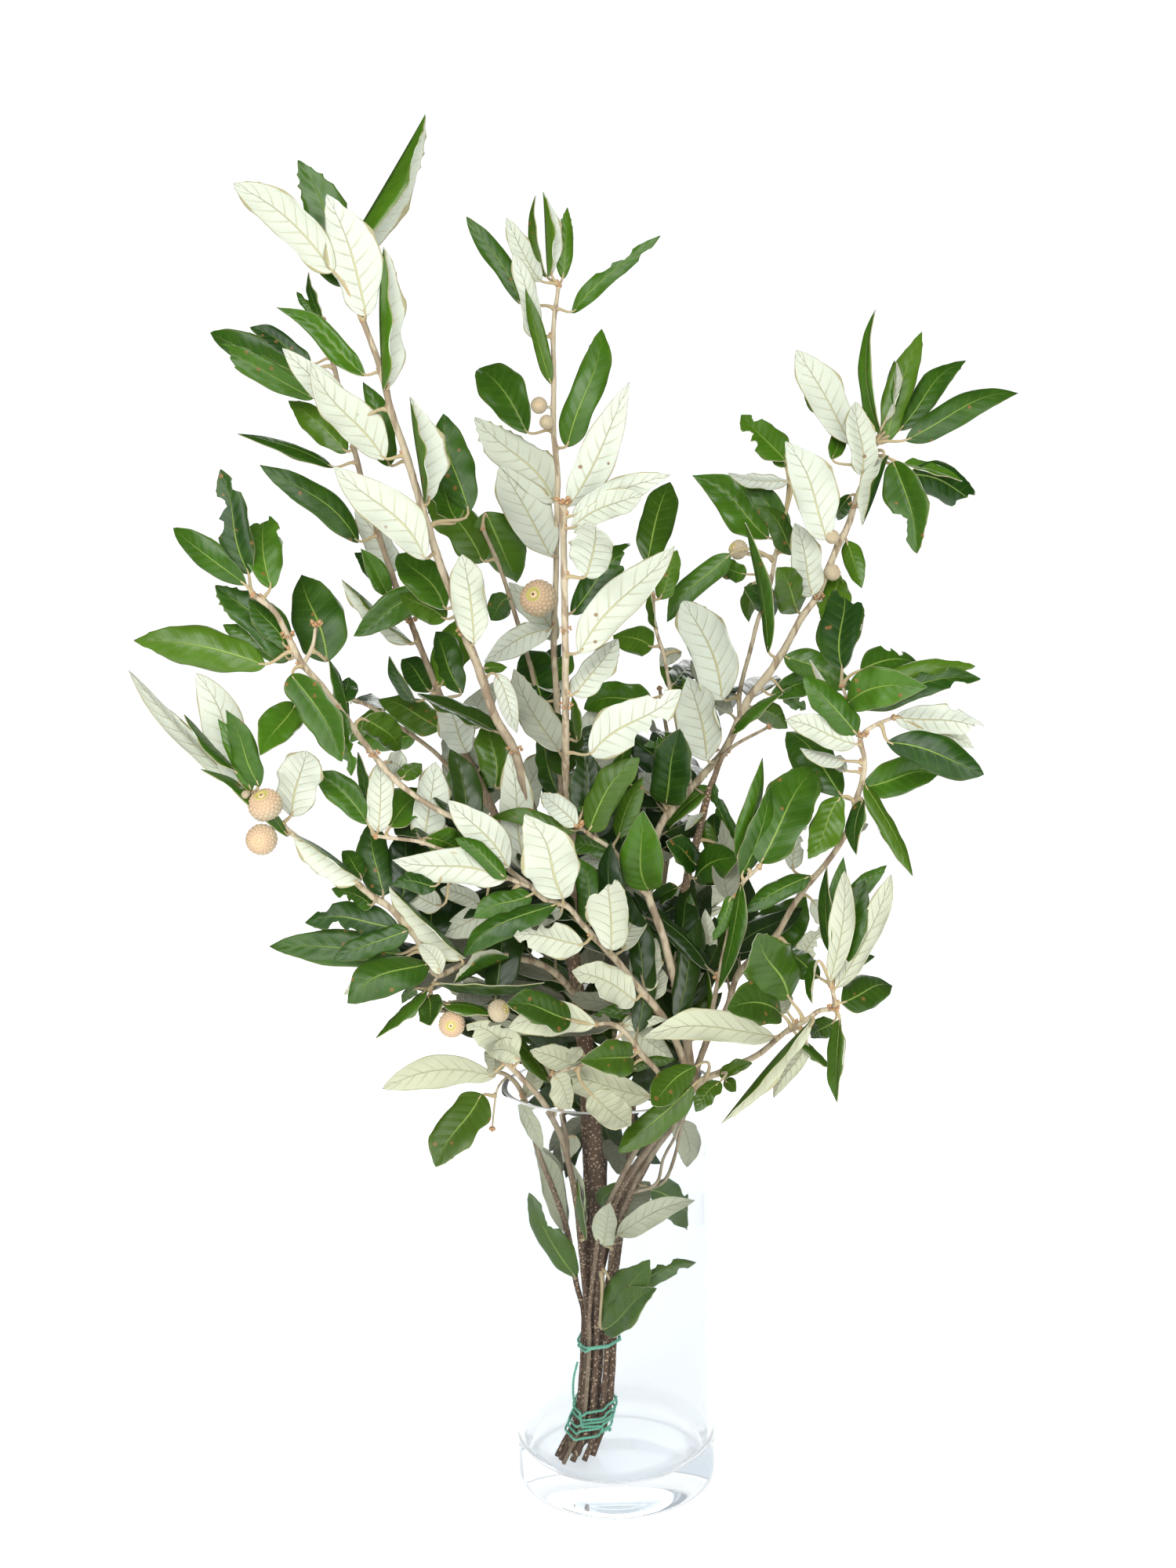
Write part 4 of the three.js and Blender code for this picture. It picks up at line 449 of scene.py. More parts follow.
class HolmOakWoodSettings(bpy.types.PropertyGroup):
    young: colour("Young Felt", "Felt on this year's twigs", (0.57, 0.50, 0.36))
    middle: colour("Second Year", "Grey brown bark of older twigs", (0.33, 0.265, 0.18))
    old: colour("Old Bark", "Dark bark of the main stem", (0.10, 0.064, 0.042))
    lenticel: colour("Lenticel", "Pale warts on the bark", (0.58, 0.42, 0.27))
    bud: colour("Bud", "Bud scales", (0.36, 0.17, 0.06))


class HolmOakCupSettings(bpy.types.PropertyGroup):
    felt: colour("Scale Felt", "Felt on the scales near the mouth of a cup", (0.74, 0.53, 0.34))
    foot_felt: colour("Foot Felt", "Greyer felt round the stalk of a cup", (0.53, 0.50, 0.355))
    # painted shade: the darker colour laid into the gaps between the scales
    gap: colour("Scale Gap", "Darker gaps between the scales", (0.42, 0.29, 0.17))
    mouth: colour("Cup Mouth", "Rim of an acorn cup round the nut", (0.50, 0.46, 0.12))
    nut: colour("Nut", "Top of the young acorn", (0.80, 0.58, 0.36))


class HolmOakVaseSettings(bpy.types.PropertyGroup):
    height: measure("Height", "Height of the vase", VASE_HIGH[2] - VASE_LOW[2])
    rim_radius: measure("Rim Radius", "Outside radius at the rim", 0.0528)
    foot_radius: measure("Foot Radius", "Outside radius above the rounded foot", 0.0494)
    wall: measure("Wall", "Thickness of the glass wall", 0.0031)
    floor: measure("Base Thickness", "Thickness of the glass base", FLOOR_INSIDE * MM)
    tint: colour("Glass Tint", "Colour of the glass", (0.91, 0.932, 0.95))
    edge: colour("Edge Tint", "Colour where the wall is seen edge on", (0.70, 0.78, 0.82))
    sides: count("Steps", "Steps round the vase", 144, 24, 256)


class HolmOakTwineSettings(bpy.types.PropertyGroup):
    radius: measure("Ply Radius", "Radius of one ply of the twine", 0.00036)
    pitch: measure("Twist Pitch", "Length of one twist of the plies", 0.0032)
    tint: colour("Twine", "Colour of the twine", (0.11, 0.42, 0.27))


class HolmOakStageSettings(bpy.types.PropertyGroup):
    lens: amount("Lens", "Focal length in mm", 36.0, 10, 200)
    tilt: angle("Tilt", "Camera tilt below the horizon", 4.7)
    roll: angle("Roll", "Camera roll", 1.43)
    backdrop: colour("Backdrop", "Floor and backdrop", (0.93, 0.93, 0.93))
    glow: amount("Floor Glow", "Light that comes up through the lit table", 0.5, 0, 2)
    ambient: amount("Ambient", "Strength of the even light from all round", 0.27, 0, 3)


# ---------------------------------------------------------------- shader helper
class Wire:
    """A shader socket that can be added, multiplied and compared like a number."""

    def __init__(self, shade, socket):
        self.shade = shade
        self.socket = socket

    def _math(self, operation, first, second=0.0, clamp=False):
        return self.shade.node("ShaderNodeMath", {"operation": operation, "use_clamp": clamp}, {0: first, 1: second})

    def __add__(self, other):
        return self._math("ADD", self, other)

    def __sub__(self, other):
        return self._math("SUBTRACT", self, other)

    def __rsub__(self, other):
        return self._math("SUBTRACT", other, self)

    def __mul__(self, other):
        return self._math("MULTIPLY", self, other)

    def __truediv__(self, other):
        return self._math("DIVIDE", self, other)

    def __abs__(self):
        return self._math("ABSOLUTE", self)

    __radd__ = __add__
    __rmul__ = __mul__

    def fraction(self):
        return self._math("FRACT", self)

    def clamped(self):
        return self._math("ADD", self, 0.0, clamp=True)

    def above(self, edge, soft):
        """0 up to the edge, 1 from edge + soft on."""
        return ((self - edge) / soft).clamped()

    def below(self, edge, soft):
        """0 from the edge on, 1 up to edge - soft."""
        return ((edge - self) / soft).clamped()

    def or_more(self, other):
        """The larger of two."""
        return self._math("MAXIMUM", self, other)


class Shade:
    """A node tree and the nodes in it: a new material's, or one that is there already."""

    def __init__(self, name="", tree=None):
        if tree is None:
            self.material = bpy.data.materials.new(name)
            self.material.use_nodes = True
            tree = self.material.node_tree
            tree.nodes.clear()
        self.tree = tree

    def node(self, kind, settings=None, inputs=None, out=0):
        made = self.tree.nodes.new(kind)
        for key, value in (settings or {}).items():
            setattr(made, key, value)
        for key, value in (inputs or {}).items():
            if isinstance(value, Wire):
                self.tree.links.new(value.socket, made.inputs[key])
            elif made.inputs[key].type == "RGBA":
                made.inputs[key].default_value = (*tuple(value)[:3], 1.0)
            else:
                made.inputs[key].default_value = value
        return Wire(self, made.outputs[out])

    def mix(self, factor, first, second):
        """Two colours mixed."""
        return self.node("ShaderNodeMix", {"data_type": "RGBA"}, {0: factor, 6: first, 7: second}, out=2)

    def blend(self, factor, first, second):
        """Two numbers mixed."""
        return self.node("ShaderNodeMix", {"data_type": "FLOAT"}, {0: factor, 2: first, 3: second})

    def place(self):
        return self.node("ShaderNodeTexCoord", out="Object")

    def noise(self, scale, detail=2.0, rough=0.5, vector=None):
        wires = {"Scale": scale, "Detail": detail, "Roughness": rough, "Vector": vector or self.place()}
        return self.node("ShaderNodeTexNoise", None, wires)

    def cells(self, scale, feature="F1"):
        wires = {"Scale": scale, "Vector": self.place()}
        return self.node("ShaderNodeTexVoronoi", {"feature": feature}, wires, out="Distance")

    def uv(self):
        """u and v of the piece's own map."""
        both = self.node("ShaderNodeUVMap", {"uv_map": "UVMap"})
        return self.channels("ShaderNodeSeparateXYZ", both)[:2]

    def attribute(self, name):
        """The three channels of a colour attribute."""
        whole = self.node("ShaderNodeAttribute", {"attribute_name": name, "attribute_type": "GEOMETRY"})
        return self.channels("ShaderNodeSeparateColor", whole)

    def channels(self, kind, whole):
        first = self.node(kind, None, {0: whole})
        return [Wire(self, socket) for socket in first.socket.node.outputs[:3]]

    def bump(self, height, distance, strength=1.0):
        return self.node("ShaderNodeBump", None, {"Height": height, "Distance": distance, "Strength": strength})

    def surface(self, inputs):
        shader = self.node("ShaderNodeBsdfPrincipled", None, inputs)
        end = self.tree.nodes.new("ShaderNodeOutputMaterial")
        self.tree.links.new(shader.socket, end.inputs["Surface"])
        return self.material


# ---------------------------------------------------------------- materials
# Side ribs of a blade: how many there are from foot to tip, how far they slant forward, and how far those of
# one half stand behind those of the other.
RIBS, RIB_SLANT, RIB_SHIFT = 8.6, 1.25, 0.42


def leaf_veins(shade):
    """Masks from the blade's own map: distance from the midrib, place along it, midrib, side ribs, and the
    place between two side ribs."""
    u, v = shade.uv()
    out = abs(u * 2.0 - 1.0)
    rib = out.below(0.070 - v * 0.050, 0.032)
    side = (v * RIBS - out * RIB_SLANT + u.above(0.5, 0.001) * RIB_SHIFT).fraction()
    lateral = abs(side - 0.5).below(0.085, 0.06) * (1.12 - out).clamped() * out.above(0.03, 0.02)
    return out, v, rib, lateral, side


def upper_material(leaf):
    """Glossy green upper side, with olive margins and ribs, brown specks, and painted shade that darkens the blades
    deep in the bunch.
    """
    s = Shade("leaf_upper_gloss")
    hue, dark, spots = s.attribute("leaf_tone")
    out, v, rib, lateral, side = leaf_veins(s)
    mottle = s.noise(55.0, 3.0, 0.6)
    base = s.mix((mottle * 0.8 + dark * 0.9 - 0.42).clamped(), leaf.upper_dark, leaf.upper_light)
    olive = hue.above(0.72, 0.28) - hue.above(0.96, 0.08) + hue.above(1.3, 0.5)
    base = s.mix(olive * 0.5, base, (0.082, 0.15, 0.007))
    base = s.mix(lateral * 0.18, base, (0.13, 0.24, 0.04))
    base = s.mix(out.above(0.86, 0.14) * 0.25, base, (0.16, 0.22, 0.05))
    base = s.mix(rib * 0.85, base, leaf.upper_rib)
    speck = s.cells(140.0).below(0.17, 0.05) * spots.above(0.55, 0.1)
    base = s.mix(speck * 0.8, base, (0.22, 0.11, 0.03))
    base = s.mix(v.below(-0.004, 0.01), base, leaf.stalk)
    # painted shade: blades deep in the bunch darkened towards black green
    base = s.mix((0.0 - dark).clamped() * 0.8, base, (0.004, 0.014, 0.002))
    quilt = abs(side - 0.5) * 1.6 * (1.0 - out * 0.5)
    relief = quilt - rib * 0.9 + s.noise(900.0) * 0.12 + s.noise(200.0) * 0.35
    return s.surface({
        "Base Color": base, "Roughness": s.noise(120.0) * 0.14 + 0.23 + spots * 0.12,
        "Specular IOR Level": 0.4, "Normal": s.bump(relief, 0.00032, 0.7),
    })


def under_material(leaf):
    """Pale felted underside with raised yellowish ribs and a fine net between them."""
    s = Shade("leaf_under_felt")
    hue, dark, spots = s.attribute("leaf_tone")
    out, v, rib, lateral, side = leaf_veins(s)
    # duller felt at random, and fully dull on leaves with painted shade
    dull = (s.noise(48.0, 3.0, 0.6) * 0.9 + (1.0 - dark) * 0.75 - 0.42).clamped()
    base = s.mix(dull, leaf.under_pale, leaf.under_shade)
    base = s.mix(out.above(0.945, 0.03) * 0.75, base, (0.30, 0.25, 0.08))
    net = s.cells(700.0, "DISTANCE_TO_EDGE")
    base = s.mix(net.below(0.07, 0.05) * 0.18, base, leaf.under_rib)
    base = s.mix(lateral * 0.42, base, leaf.under_rib)
    base = s.mix(rib * 0.9, base, leaf.under_rib)
    blot = s.cells(95.0).below(0.11, 0.03) * spots.above(0.8, 0.05)
    base = s.mix(blot * 0.85, base, (0.24, 0.12, 0.05))
    base = s.mix((hue - 1.0).clamped() * 0.85, base, (0.47, 0.475, 0.30))
    base = s.mix(v.below(-0.004, 0.01), base, leaf.stalk)
    # painted shade: undersides deep in the bunch darkened further
    base = s.mix((0.0 - dark).clamped() * 0.8, base, (0.085, 0.085, 0.05))
    relief = lateral * 0.9 + rib * 1.2 - abs(side - 0.5) * 0.7 + s.noise(1500.0) * 0.35
    return s.surface({
        "Base Color": base, "Roughness": s.noise(200.0) * 0.12 + 0.68, "Sheen Weight": 0.15,
        "Sheen Roughness": 0.5, "Specular IOR Level": 0.25, "Normal": s.bump(relief, 0.00042, 0.85),
    })


def bark_material(wood):
    """Felt on young wood, grey brown on older, and dark warty bark on the oldest."""
    s = Shade("bark")
    age, _, _ = s.attribute("bark_age")
    streak = s.node("ShaderNodeMapping", None, {"Vector": s.place(), "Scale": (1.0, 1.0, 0.22)})
    grain = s.noise(650.0, 4.0, 0.65, streak)
    mottle = s.noise(160.0, 3.0, 0.6)
    young = s.mix((grain * 1.3 - 0.3).clamped(), wood.young, (0.36, 0.28, 0.17))
    middle = s.mix(grain, wood.middle, (0.17, 0.115, 0.072))
    base = s.mix((age * 2.0 + mottle * 1.1 - 0.62).clamped(), young, middle)
    blotch = s.noise(260.0, vector=streak).above(0.52, 0.06)
    base = s.mix(blotch * 0.6, base, (0.17, 0.11, 0.066))
    old = s.mix(grain, wood.old, (0.13, 0.08, 0.052))
    base = s.mix((age * 2.0 - 1.15 + mottle * 0.3).clamped(), base, old)
    dots = s.cells(600.0).below(0.36, 0.08) * age.above(0.45, 0.3)
    base = s.mix(dots * 0.8, base, wood.lenticel)
    relief = grain * 0.6 + dots * 0.8 + mottle * 0.4
    return s.surface({
        "Base Color": base, "Roughness": 0.86 - dots * 0.1, "Specular IOR Level": 0.25,
        "Normal": s.bump(relief, 0.0005, 0.8),
    })


def bud_material(wood):
    s = Shade("bud_scales")
    tone = s.noise(900.0, 3.0)
    base = s.mix(tone, wood.bud, (0.55, 0.36, 0.20))
    return s.surface({"Base Color": base, "Roughness": 0.7, "Normal": s.bump(tone, 0.0003, 0.6)})


def cup_material(cup):
    s = Shade("acorn_cup_felt")
    gap, mouth, nut = s.attribute("cup_zone")
    _, down = s.uv()
    fine = s.noise(1300.0, 3.0)
    low = (down * 3.2 - 0.75 + (s.noise(160.0) - 0.5) * 1.4).clamped()
    base = s.mix(low, cup.felt, cup.foot_felt)
    # painted shade in the gaps between the scales, and on the closed mouth of young cups
    base = s.mix((gap * 1.2).clamped() * 0.65, base, cup.gap)
    base = s.mix(mouth, base, cup.mouth)
    base = s.mix((nut * 2.0).clamped(), base, cup.nut)
    base = s.mix(nut.above(0.55, 0.3), base, (0.05, 0.02, 0.012))
    return s.surface({
        "Base Color": base, "Roughness": 0.82 - nut * 0.3, "Normal": s.bump(fine - gap * 0.6, 0.0003, 0.7),
    })


def glass_material(vase):
    s = Shade("clear_glass")
    edge = s.node("ShaderNodeLayerWeight", None, {"Blend": 0.35}, "Facing")
    base = s.mix((edge * edge * edge).clamped(), vase.tint, vase.edge)
    return s.surface({"Base Color": base, "Roughness": 0.0, "IOR": 1.13, "Transmission Weight": 1.0})


def solid_glass(name, tint, roughness, ior, clear):
    return Shade(name).surface({
        "Base Color": tint, "Roughness": roughness, "IOR": ior, "Transmission Weight": clear,
    })


def twine_material(twine):
    s = Shade("twine_cotton")
    fuzz = s.noise(2200.0, 3.0)
    base = s.mix((fuzz * 1.2 - 0.2).clamped(), twine.tint, (0.22, 0.56, 0.40))
    return s.surface({
        "Base Color": base, "Roughness": 0.85, "Sheen Weight": 0.2, "Normal": s.bump(fuzz, 0.0002, 0.7),
    })


def stage_material(stage):
    s = Shade("backdrop_paper")
    soft = s.mix(s.noise(3.0) * 0.5, stage.backdrop, (0.95, 0.95, 0.95))
    return s.surface({
        "Base Color": soft, "Roughness": 0.9, "Emission Color": (1.0, 1.0, 1.0), "Emission Strength": stage.glow,
    })


def studio_light(tree, ambient):
    """White behind the object and through the glass, and a softer even light on the object from all round."""
    s = Shade(tree=tree)

    def ray(kind):
        return s.node("ShaderNodeLightPath", out=kind)

    glossy = ray("Is Glossy Ray")
    clear = ray("Is Transmission Ray").or_more(ray("Is Singular Ray") * 0.25)
    inner_grey = (1.0 - ray("Glossy Depth") * 0.16).clamped()  # each reflection inside the base greys it a little
    seen = ray("Is Camera Ray").or_more(clear * ray("Diffuse Depth").below(1.0, 1.0) * inner_grey)
    strength = s.blend(seen, s.blend(glossy, ambient, ambient * 0.22), 1.05)
    background = tree.nodes["Background"]
    tree.links.new(s.mix(glossy, (1, 1, 1), (0.88, 0.95, 1.0)).socket, background.inputs["Color"])
    tree.links.new(strength.socket, background.inputs["Strength"])


# ---------------------------------------------------------------- geometry helper
def wave(n):
    """A repeatable number from 0 to 1 for each n."""
    s = math.sin(n * 12.9898 + 4.1) * 4375.8545
    return s - math.floor(s)


def place(x, z, y):
    """A table point x, z moved to depth y along the line from TABLE_EYE."""
    f = (y - TABLE_EYE[1]) / -TABLE_EYE[1]
    return np.array([TABLE_EYE[0] + (x - TABLE_EYE[0]) * f, y, TABLE_EYE[2] + (z - TABLE_EYE[2]) * f])


def on_table(p):
    """The x and z that a point has in the tables."""
    f = -TABLE_EYE[1] / (p[1] - TABLE_EYE[1])
    return TABLE_EYE[0] + (p[0] - TABLE_EYE[0]) * f, TABLE_EYE[2] + (p[2] - TABLE_EYE[2]) * f


def unit(v):
    return v / max(1e-9, np.linalg.norm(v))


def turned(v, axis, angle):
    c, s = math.cos(angle), math.sin(angle)
    return v * c + np.cross(axis, v) * s + axis * np.dot(axis, v) * (1 - c)


def ramp(values, start, span):
    """0 at start, 1 at start + span, and even between them; a negative span falls instead."""
    return np.clip((values - start) / span, 0, 1)


def run_of(points):
    """Length of a path from its start to each of its points."""
    return np.concatenate([[0], np.cumsum(np.linalg.norm(np.diff(points, axis=0), axis=1))])


def between(a, b, t, at_a, at_b):
    """The value at t on the line through a at at_a and b at at_b."""
    return (at_b - t) / (at_b - at_a) * a + (t - at_a) / (at_b - at_a) * b


def smooth_path(rows, step):
    """Rows of x, y, z, radius joined by a centripetal curve and cut at even steps."""
    p = np.array(rows, float)
    p = np.vstack([2 * p[0] - p[1], p, 2 * p[-1] - p[-2]])
    fine = []
    for i in range(1, len(p) - 2):
        a, b, c, d = p[i - 1 : i + 3]
        t0 = 0.0
        t1 = t0 + np.linalg.norm(b[:3] - a[:3]) ** 0.5
        t2 = t1 + np.linalg.norm(c[:3] - b[:3]) ** 0.5
        t3 = t2 + np.linalg.norm(d[:3] - c[:3]) ** 0.5
        for t in np.linspace(t1, t2, 12, endpoint=False):
            bc = between(b, c, t, t1, t2)
            abc = between(between(a, b, t, t0, t1), bc, t, t0, t2)
            bcd = between(bc, between(c, d, t, t2, t3), t, t1, t3)
            fine.append(between(abc, bcd, t, t1, t2))
    fine = np.array([*fine, p[-2]])
    along = run_of(fine[:, :3])
    cuts = np.linspace(0, along[-1], max(3, int(round(along[-1] / step)) + 1))
    return np.column_stack([np.interp(cuts, along, fine[:, k]) for k in range(4)])


def smooth_even(points, step):
    """A path cut at even steps and eased three times."""
    points = np.asarray(points, float)
    along = run_of(points)
    keep = np.concatenate([[True], np.diff(along) > 1e-6])
    points, along = points[keep], along[keep]
    cuts = np.linspace(0, along[-1], max(4, int(along[-1] / step)))
    even = np.column_stack([np.interp(cuts, along, points[:, k]) for k in range(3)])
    for _ in range(3):
        even[1:-1] = even[:-2] * 0.25 + even[1:-1] * 0.5 + even[2:] * 0.25
    return even


def bezier(a, b, c, d, n):
    t = np.linspace(0, 1, n)[:, None]
    return (1 - t) ** 3 * a + 3 * (1 - t) ** 2 * t * b + 3 * (1 - t) * t**2 * c + t**3 * d


def sweep_frames(points):
    """Tangent and two side directions at each point, without twist."""
    tangents = np.gradient(points, axis=0)
    tangents /= np.maximum(1e-9, np.linalg.norm(tangents, axis=1))[:, None]
    first = np.cross(tangents[0], [0.0, 1.0, 0.0])
    if np.linalg.norm(first) < 0.1:
        first = np.cross(tangents[0], [1.0, 0.0, 0.0])
    sides = [unit(first)]
    for t in tangents[1:]:
        sides.append(unit(sides[-1] - t * np.dot(sides[-1], t)))
    sides = np.array(sides)
    return tangents, sides, np.cross(tangents, sides)


def rings_round(points, sides):
    """Tangents of a path, and the directions to the corners of a ring round each of its points."""
    tangent, side, up = sweep_frames(points)
    angle = np.arange(sides) * TURN / sides
    return tangent, side[:, None, :] * np.cos(angle)[None, :, None] + up[:, None, :] * np.sin(angle)[None, :, None]


def facing(way):
    """Three directions, the last one along way."""
    way = unit(np.asarray(way, float))
    side = unit(np.cross(way, [0.0, 0.0, 1.0] if abs(way[2]) < 0.9 else [1.0, 0.0, 0.0]))
    return np.array([side, np.cross(way, side), way])


def vertex_rows(mesh):
    """Places of a mesh's vertices, a row for each."""
    rows = np.empty(len(mesh.vertices) * 3)
    mesh.vertices.foreach_get("co", rows)
    return rows.reshape(-1, 3)


def corner_vertices(mesh):
    """The vertex at each corner of a mesh's faces."""
    corners = np.empty(len(mesh.loops), int)
    mesh.loops.foreach_get("vertex_index", corners)
    return corners


def taken(thing):
    """Vertices, faces and face materials of an object that was made as a pattern and goes again."""
    mesh = thing.data
    found = {
        "points": vertex_rows(mesh),
        "faces": [tuple(f.vertices) for f in mesh.polygons],
        "slots": [f.material_index for f in mesh.polygons],
    }
    bpy.data.objects.remove(thing)
    bpy.data.meshes.remove(mesh)
    return found


def ball(segments, rings):
    only()
    bpy.ops.mesh.primitive_uv_sphere_add(segments=segments, ring_count=rings, radius=1, location=(0, 0, 0))
    return taken(bpy.context.object)


def only(*objects):
    """Leave just these selected, the first one active."""
    for o in bpy.context.view_layer.objects:
        o.select_set(False)
    for o in objects:
        o.select_set(True)
    if objects:
        bpy.context.view_layer.objects.active = objects[0]


def hand_over(piece, slot, *nodes):
    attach(piece, "root")
    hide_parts(*nodes)
    return piece


class Heap:
    """Vertices and faces gathered for one piece, with UVs, tones and material numbers."""

    def __init__(self):
        self.points, self.faces, self.uvs, self.tones, self.slots = [], [], [], [], []
        self.count = 0

    def add(self, points, faces, uvs, tone, slots=0):
        """uvs and tone have a row for each vertex, or one for all; slots a number for each face, or one for all."""
        points = np.asarray(points, float)
        self.points.append(points)
        self.uvs.append(np.broadcast_to(np.asarray(uvs, float), (len(points), 2)))
        self.tones.append(np.broadcast_to(np.asarray(tone, float), (len(points), 3)))
        self.slots.extend([slots] * len(faces) if isinstance(slots, int) else list(slots))
        self.faces.extend([tuple(int(i) + self.count for i in f) for f in faces])
        self.count += len(points)

    def skin(self, body, ends, tone, slot=0, uvs=(0.0, 0.0)):
        """A closed tube over rings of points and two end points; tone has a row for each ring, or one for all."""
        rings, sides = body.shape[:2]
        faces = []
        for i in range(rings - 1):
            for k in range(sides):
                a, b = i * sides + k, i * sides + (k + 1) % sides
                faces.append((a, b, b + sides, a + sides))
        low, top = rings * sides, (rings - 1) * sides
        for k in range(sides):
            faces.append((low, (k + 1) % sides, k))
            faces.append((low + 1, top + k, top + (k + 1) % sides))
        tone = np.asarray(tone, float)
        if tone.ndim == 2:
            tone = np.vstack([np.repeat(tone, sides, axis=0), tone[:1], tone[-1:]])
        self.add(np.vstack([body.reshape(-1, 3), ends]), faces, uvs, tone, slot)

    def tube(self, points, radii, sides, tone, slot=0, uvs=(0.0, 0.0)):
        """A round tube along the points."""
        tangent, ring = rings_round(points, sides)
        radii = np.broadcast_to(np.asarray(radii, float), (len(points),))
        ends = [points[0] - tangent[0] * radii[0] * 0.3, points[-1] + tangent[-1] * radii[-1] * 0.9]
        self.skin(points[:, None, :] + ring * radii[:, None, None], ends, tone, slot, uvs)

    def piece(self, name, materials, attribute):
        mesh = bpy.data.meshes.new(name)
        mesh.from_pydata((np.vstack(self.points) * MM).tolist(), [], self.faces)
        layer = mesh.uv_layers.new(name="UVMap")
        layer.data.foreach_set("uv", np.vstack(self.uvs)[corner_vertices(mesh)].ravel())
        tones = mesh.attributes.new(attribute, "FLOAT_COLOR", "POINT")
        rows = np.column_stack([np.vstack(self.tones), np.ones(self.count)])
        tones.data.foreach_set("color", rows.ravel())
        for m in materials:
            mesh.materials.append(m)
        mesh.polygons.foreach_set("material_index", np.array(self.slots, dtype=np.int32))
        mesh.polygons.foreach_set("use_smooth", np.ones(len(mesh.polygons), bool))
        mesh.update()
        made = bpy.data.objects.new(name, mesh)
        bpy.context.collection.objects.link(made)
        return made


# ---------------------------------------------------------------- branch layout
def leaned(name, spec):
    """The branch with each route swung back or forward."""
    lean = LEAN.get(name, [0])
    routes = []
    for k, route in enumerate(spec["routes"]):
        x0, z0 = route[0][:2]
        rows = []
        for x, z, y, r in route:
            out = (lean[k] if k < len(lean) else 0) * math.hypot(x - x0, z - z0) if k else 0
            rows.append([x, z, y + (lean[0] * max(0, z - SWING_Z) + out) / 100, r])
        routes.append(rows)
    return {**spec, "routes": routes}


def foot_rows(foot):
    """The stem below the tables, from its cut end on the glass floor up through both ties."""
    x, y, r, end = foot
    low, mid = np.array([x * 1.15 - 12, y - 15.5, 16.5]), np.array([x - 4.2, y - 6.5, LOWER_TIE_Z])
    if end > 20:
        low = np.array([low[0] + (mid[0] - low[0]) * 0.62, low[1] + (mid[1] - low[1]) * 0.62, end])
    through_tie = np.array([x, y, UPPER_TIE_Z])
    rows = [low, mid, np.array([x - 1.5, y - 2.5, 50]), through_tie, np.array([x + 0.4, y + 0.4, 84])]
    return [[*p, r] for p in rows]


def nearest_row(routes, x, z):
    """The x, z and depth of the point of the routes nearest to x, z on the table."""
    best, far = None, 1e9
    for route in routes:
        for (ax, az, ay, _), (bx, bz, by, _) in zip(route, route[1:]):
            span = (bx - ax) ** 2 + (bz - az) ** 2
            t = min(1, max(0, ((x - ax) * (bx - ax) + (z - az) * (bz - az)) / span))
            px, pz = ax + (bx - ax) * t, az + (bz - az) * t
            d = math.hypot(px - x, pz - z)
            if d < far:
                best, far = (px, pz, ay + (by - ay) * t), d
    return best


def way_at(path, at):
    """Direction of a stem at one of its rings."""
    return unit(path[min(at + 2, len(path) - 1), :3] - path[max(at - 2, 0), :3])


def shade_at(foot, tip):
    """How much painted shade a leaf gets: 1 deep inside the bunch, and nearly 0 from 56 mm behind its middle."""
    return min(1.0, max(0.1, (56 - (foot[1] + tip[1]) / 2) / 28))


def past_far_leaves(x, z, p):
    """Where a leaf of the far stems would show beside or above the bunch."""
    return x < -95 or x > 92 or z > 404 or z < 222 or p[2] < 212


def past_inner_leaves(x, z, p):
    """Where an inner leaf would stand out of the thick of the bunch."""
    return x < -112 or x > 100 or z > 425 - abs(x) * 0.25 or z < 216 or p[2] < 210 or p[1] > 120


def fits(foot, tip, made, room, spare, past):
    """True where a leaf is past no limit and keeps clear of the open spots and of the leaves made so far."""
    for s in range(5):
        p = foot + (tip - foot) * s / 4
        x, z = on_table(p)
        if past(x, z, p) or any(math.hypot(cx - x, cz - z) < r + spare for cx, cz, r in OPEN_SPOTS):
            return False
        if any(np.linalg.norm((o["foot"] + o["tip"]) / 2 - p) < room for o in made):
            return False
    return True


def leaf_of(foot, tip, twig, face, width, form, index, fold=None, shade=0.0):
    """A leaf before it is bent. fold: half the angle of a folded blade; shade: how far painted shade darkens it, deep
    in the bunch.
    """
    return {
        "foot": foot, "tip": tip, "twig": twig, "face": face, "width": width, "form": form, "index": index,
        "fold": fold, "shade": shade,
    }


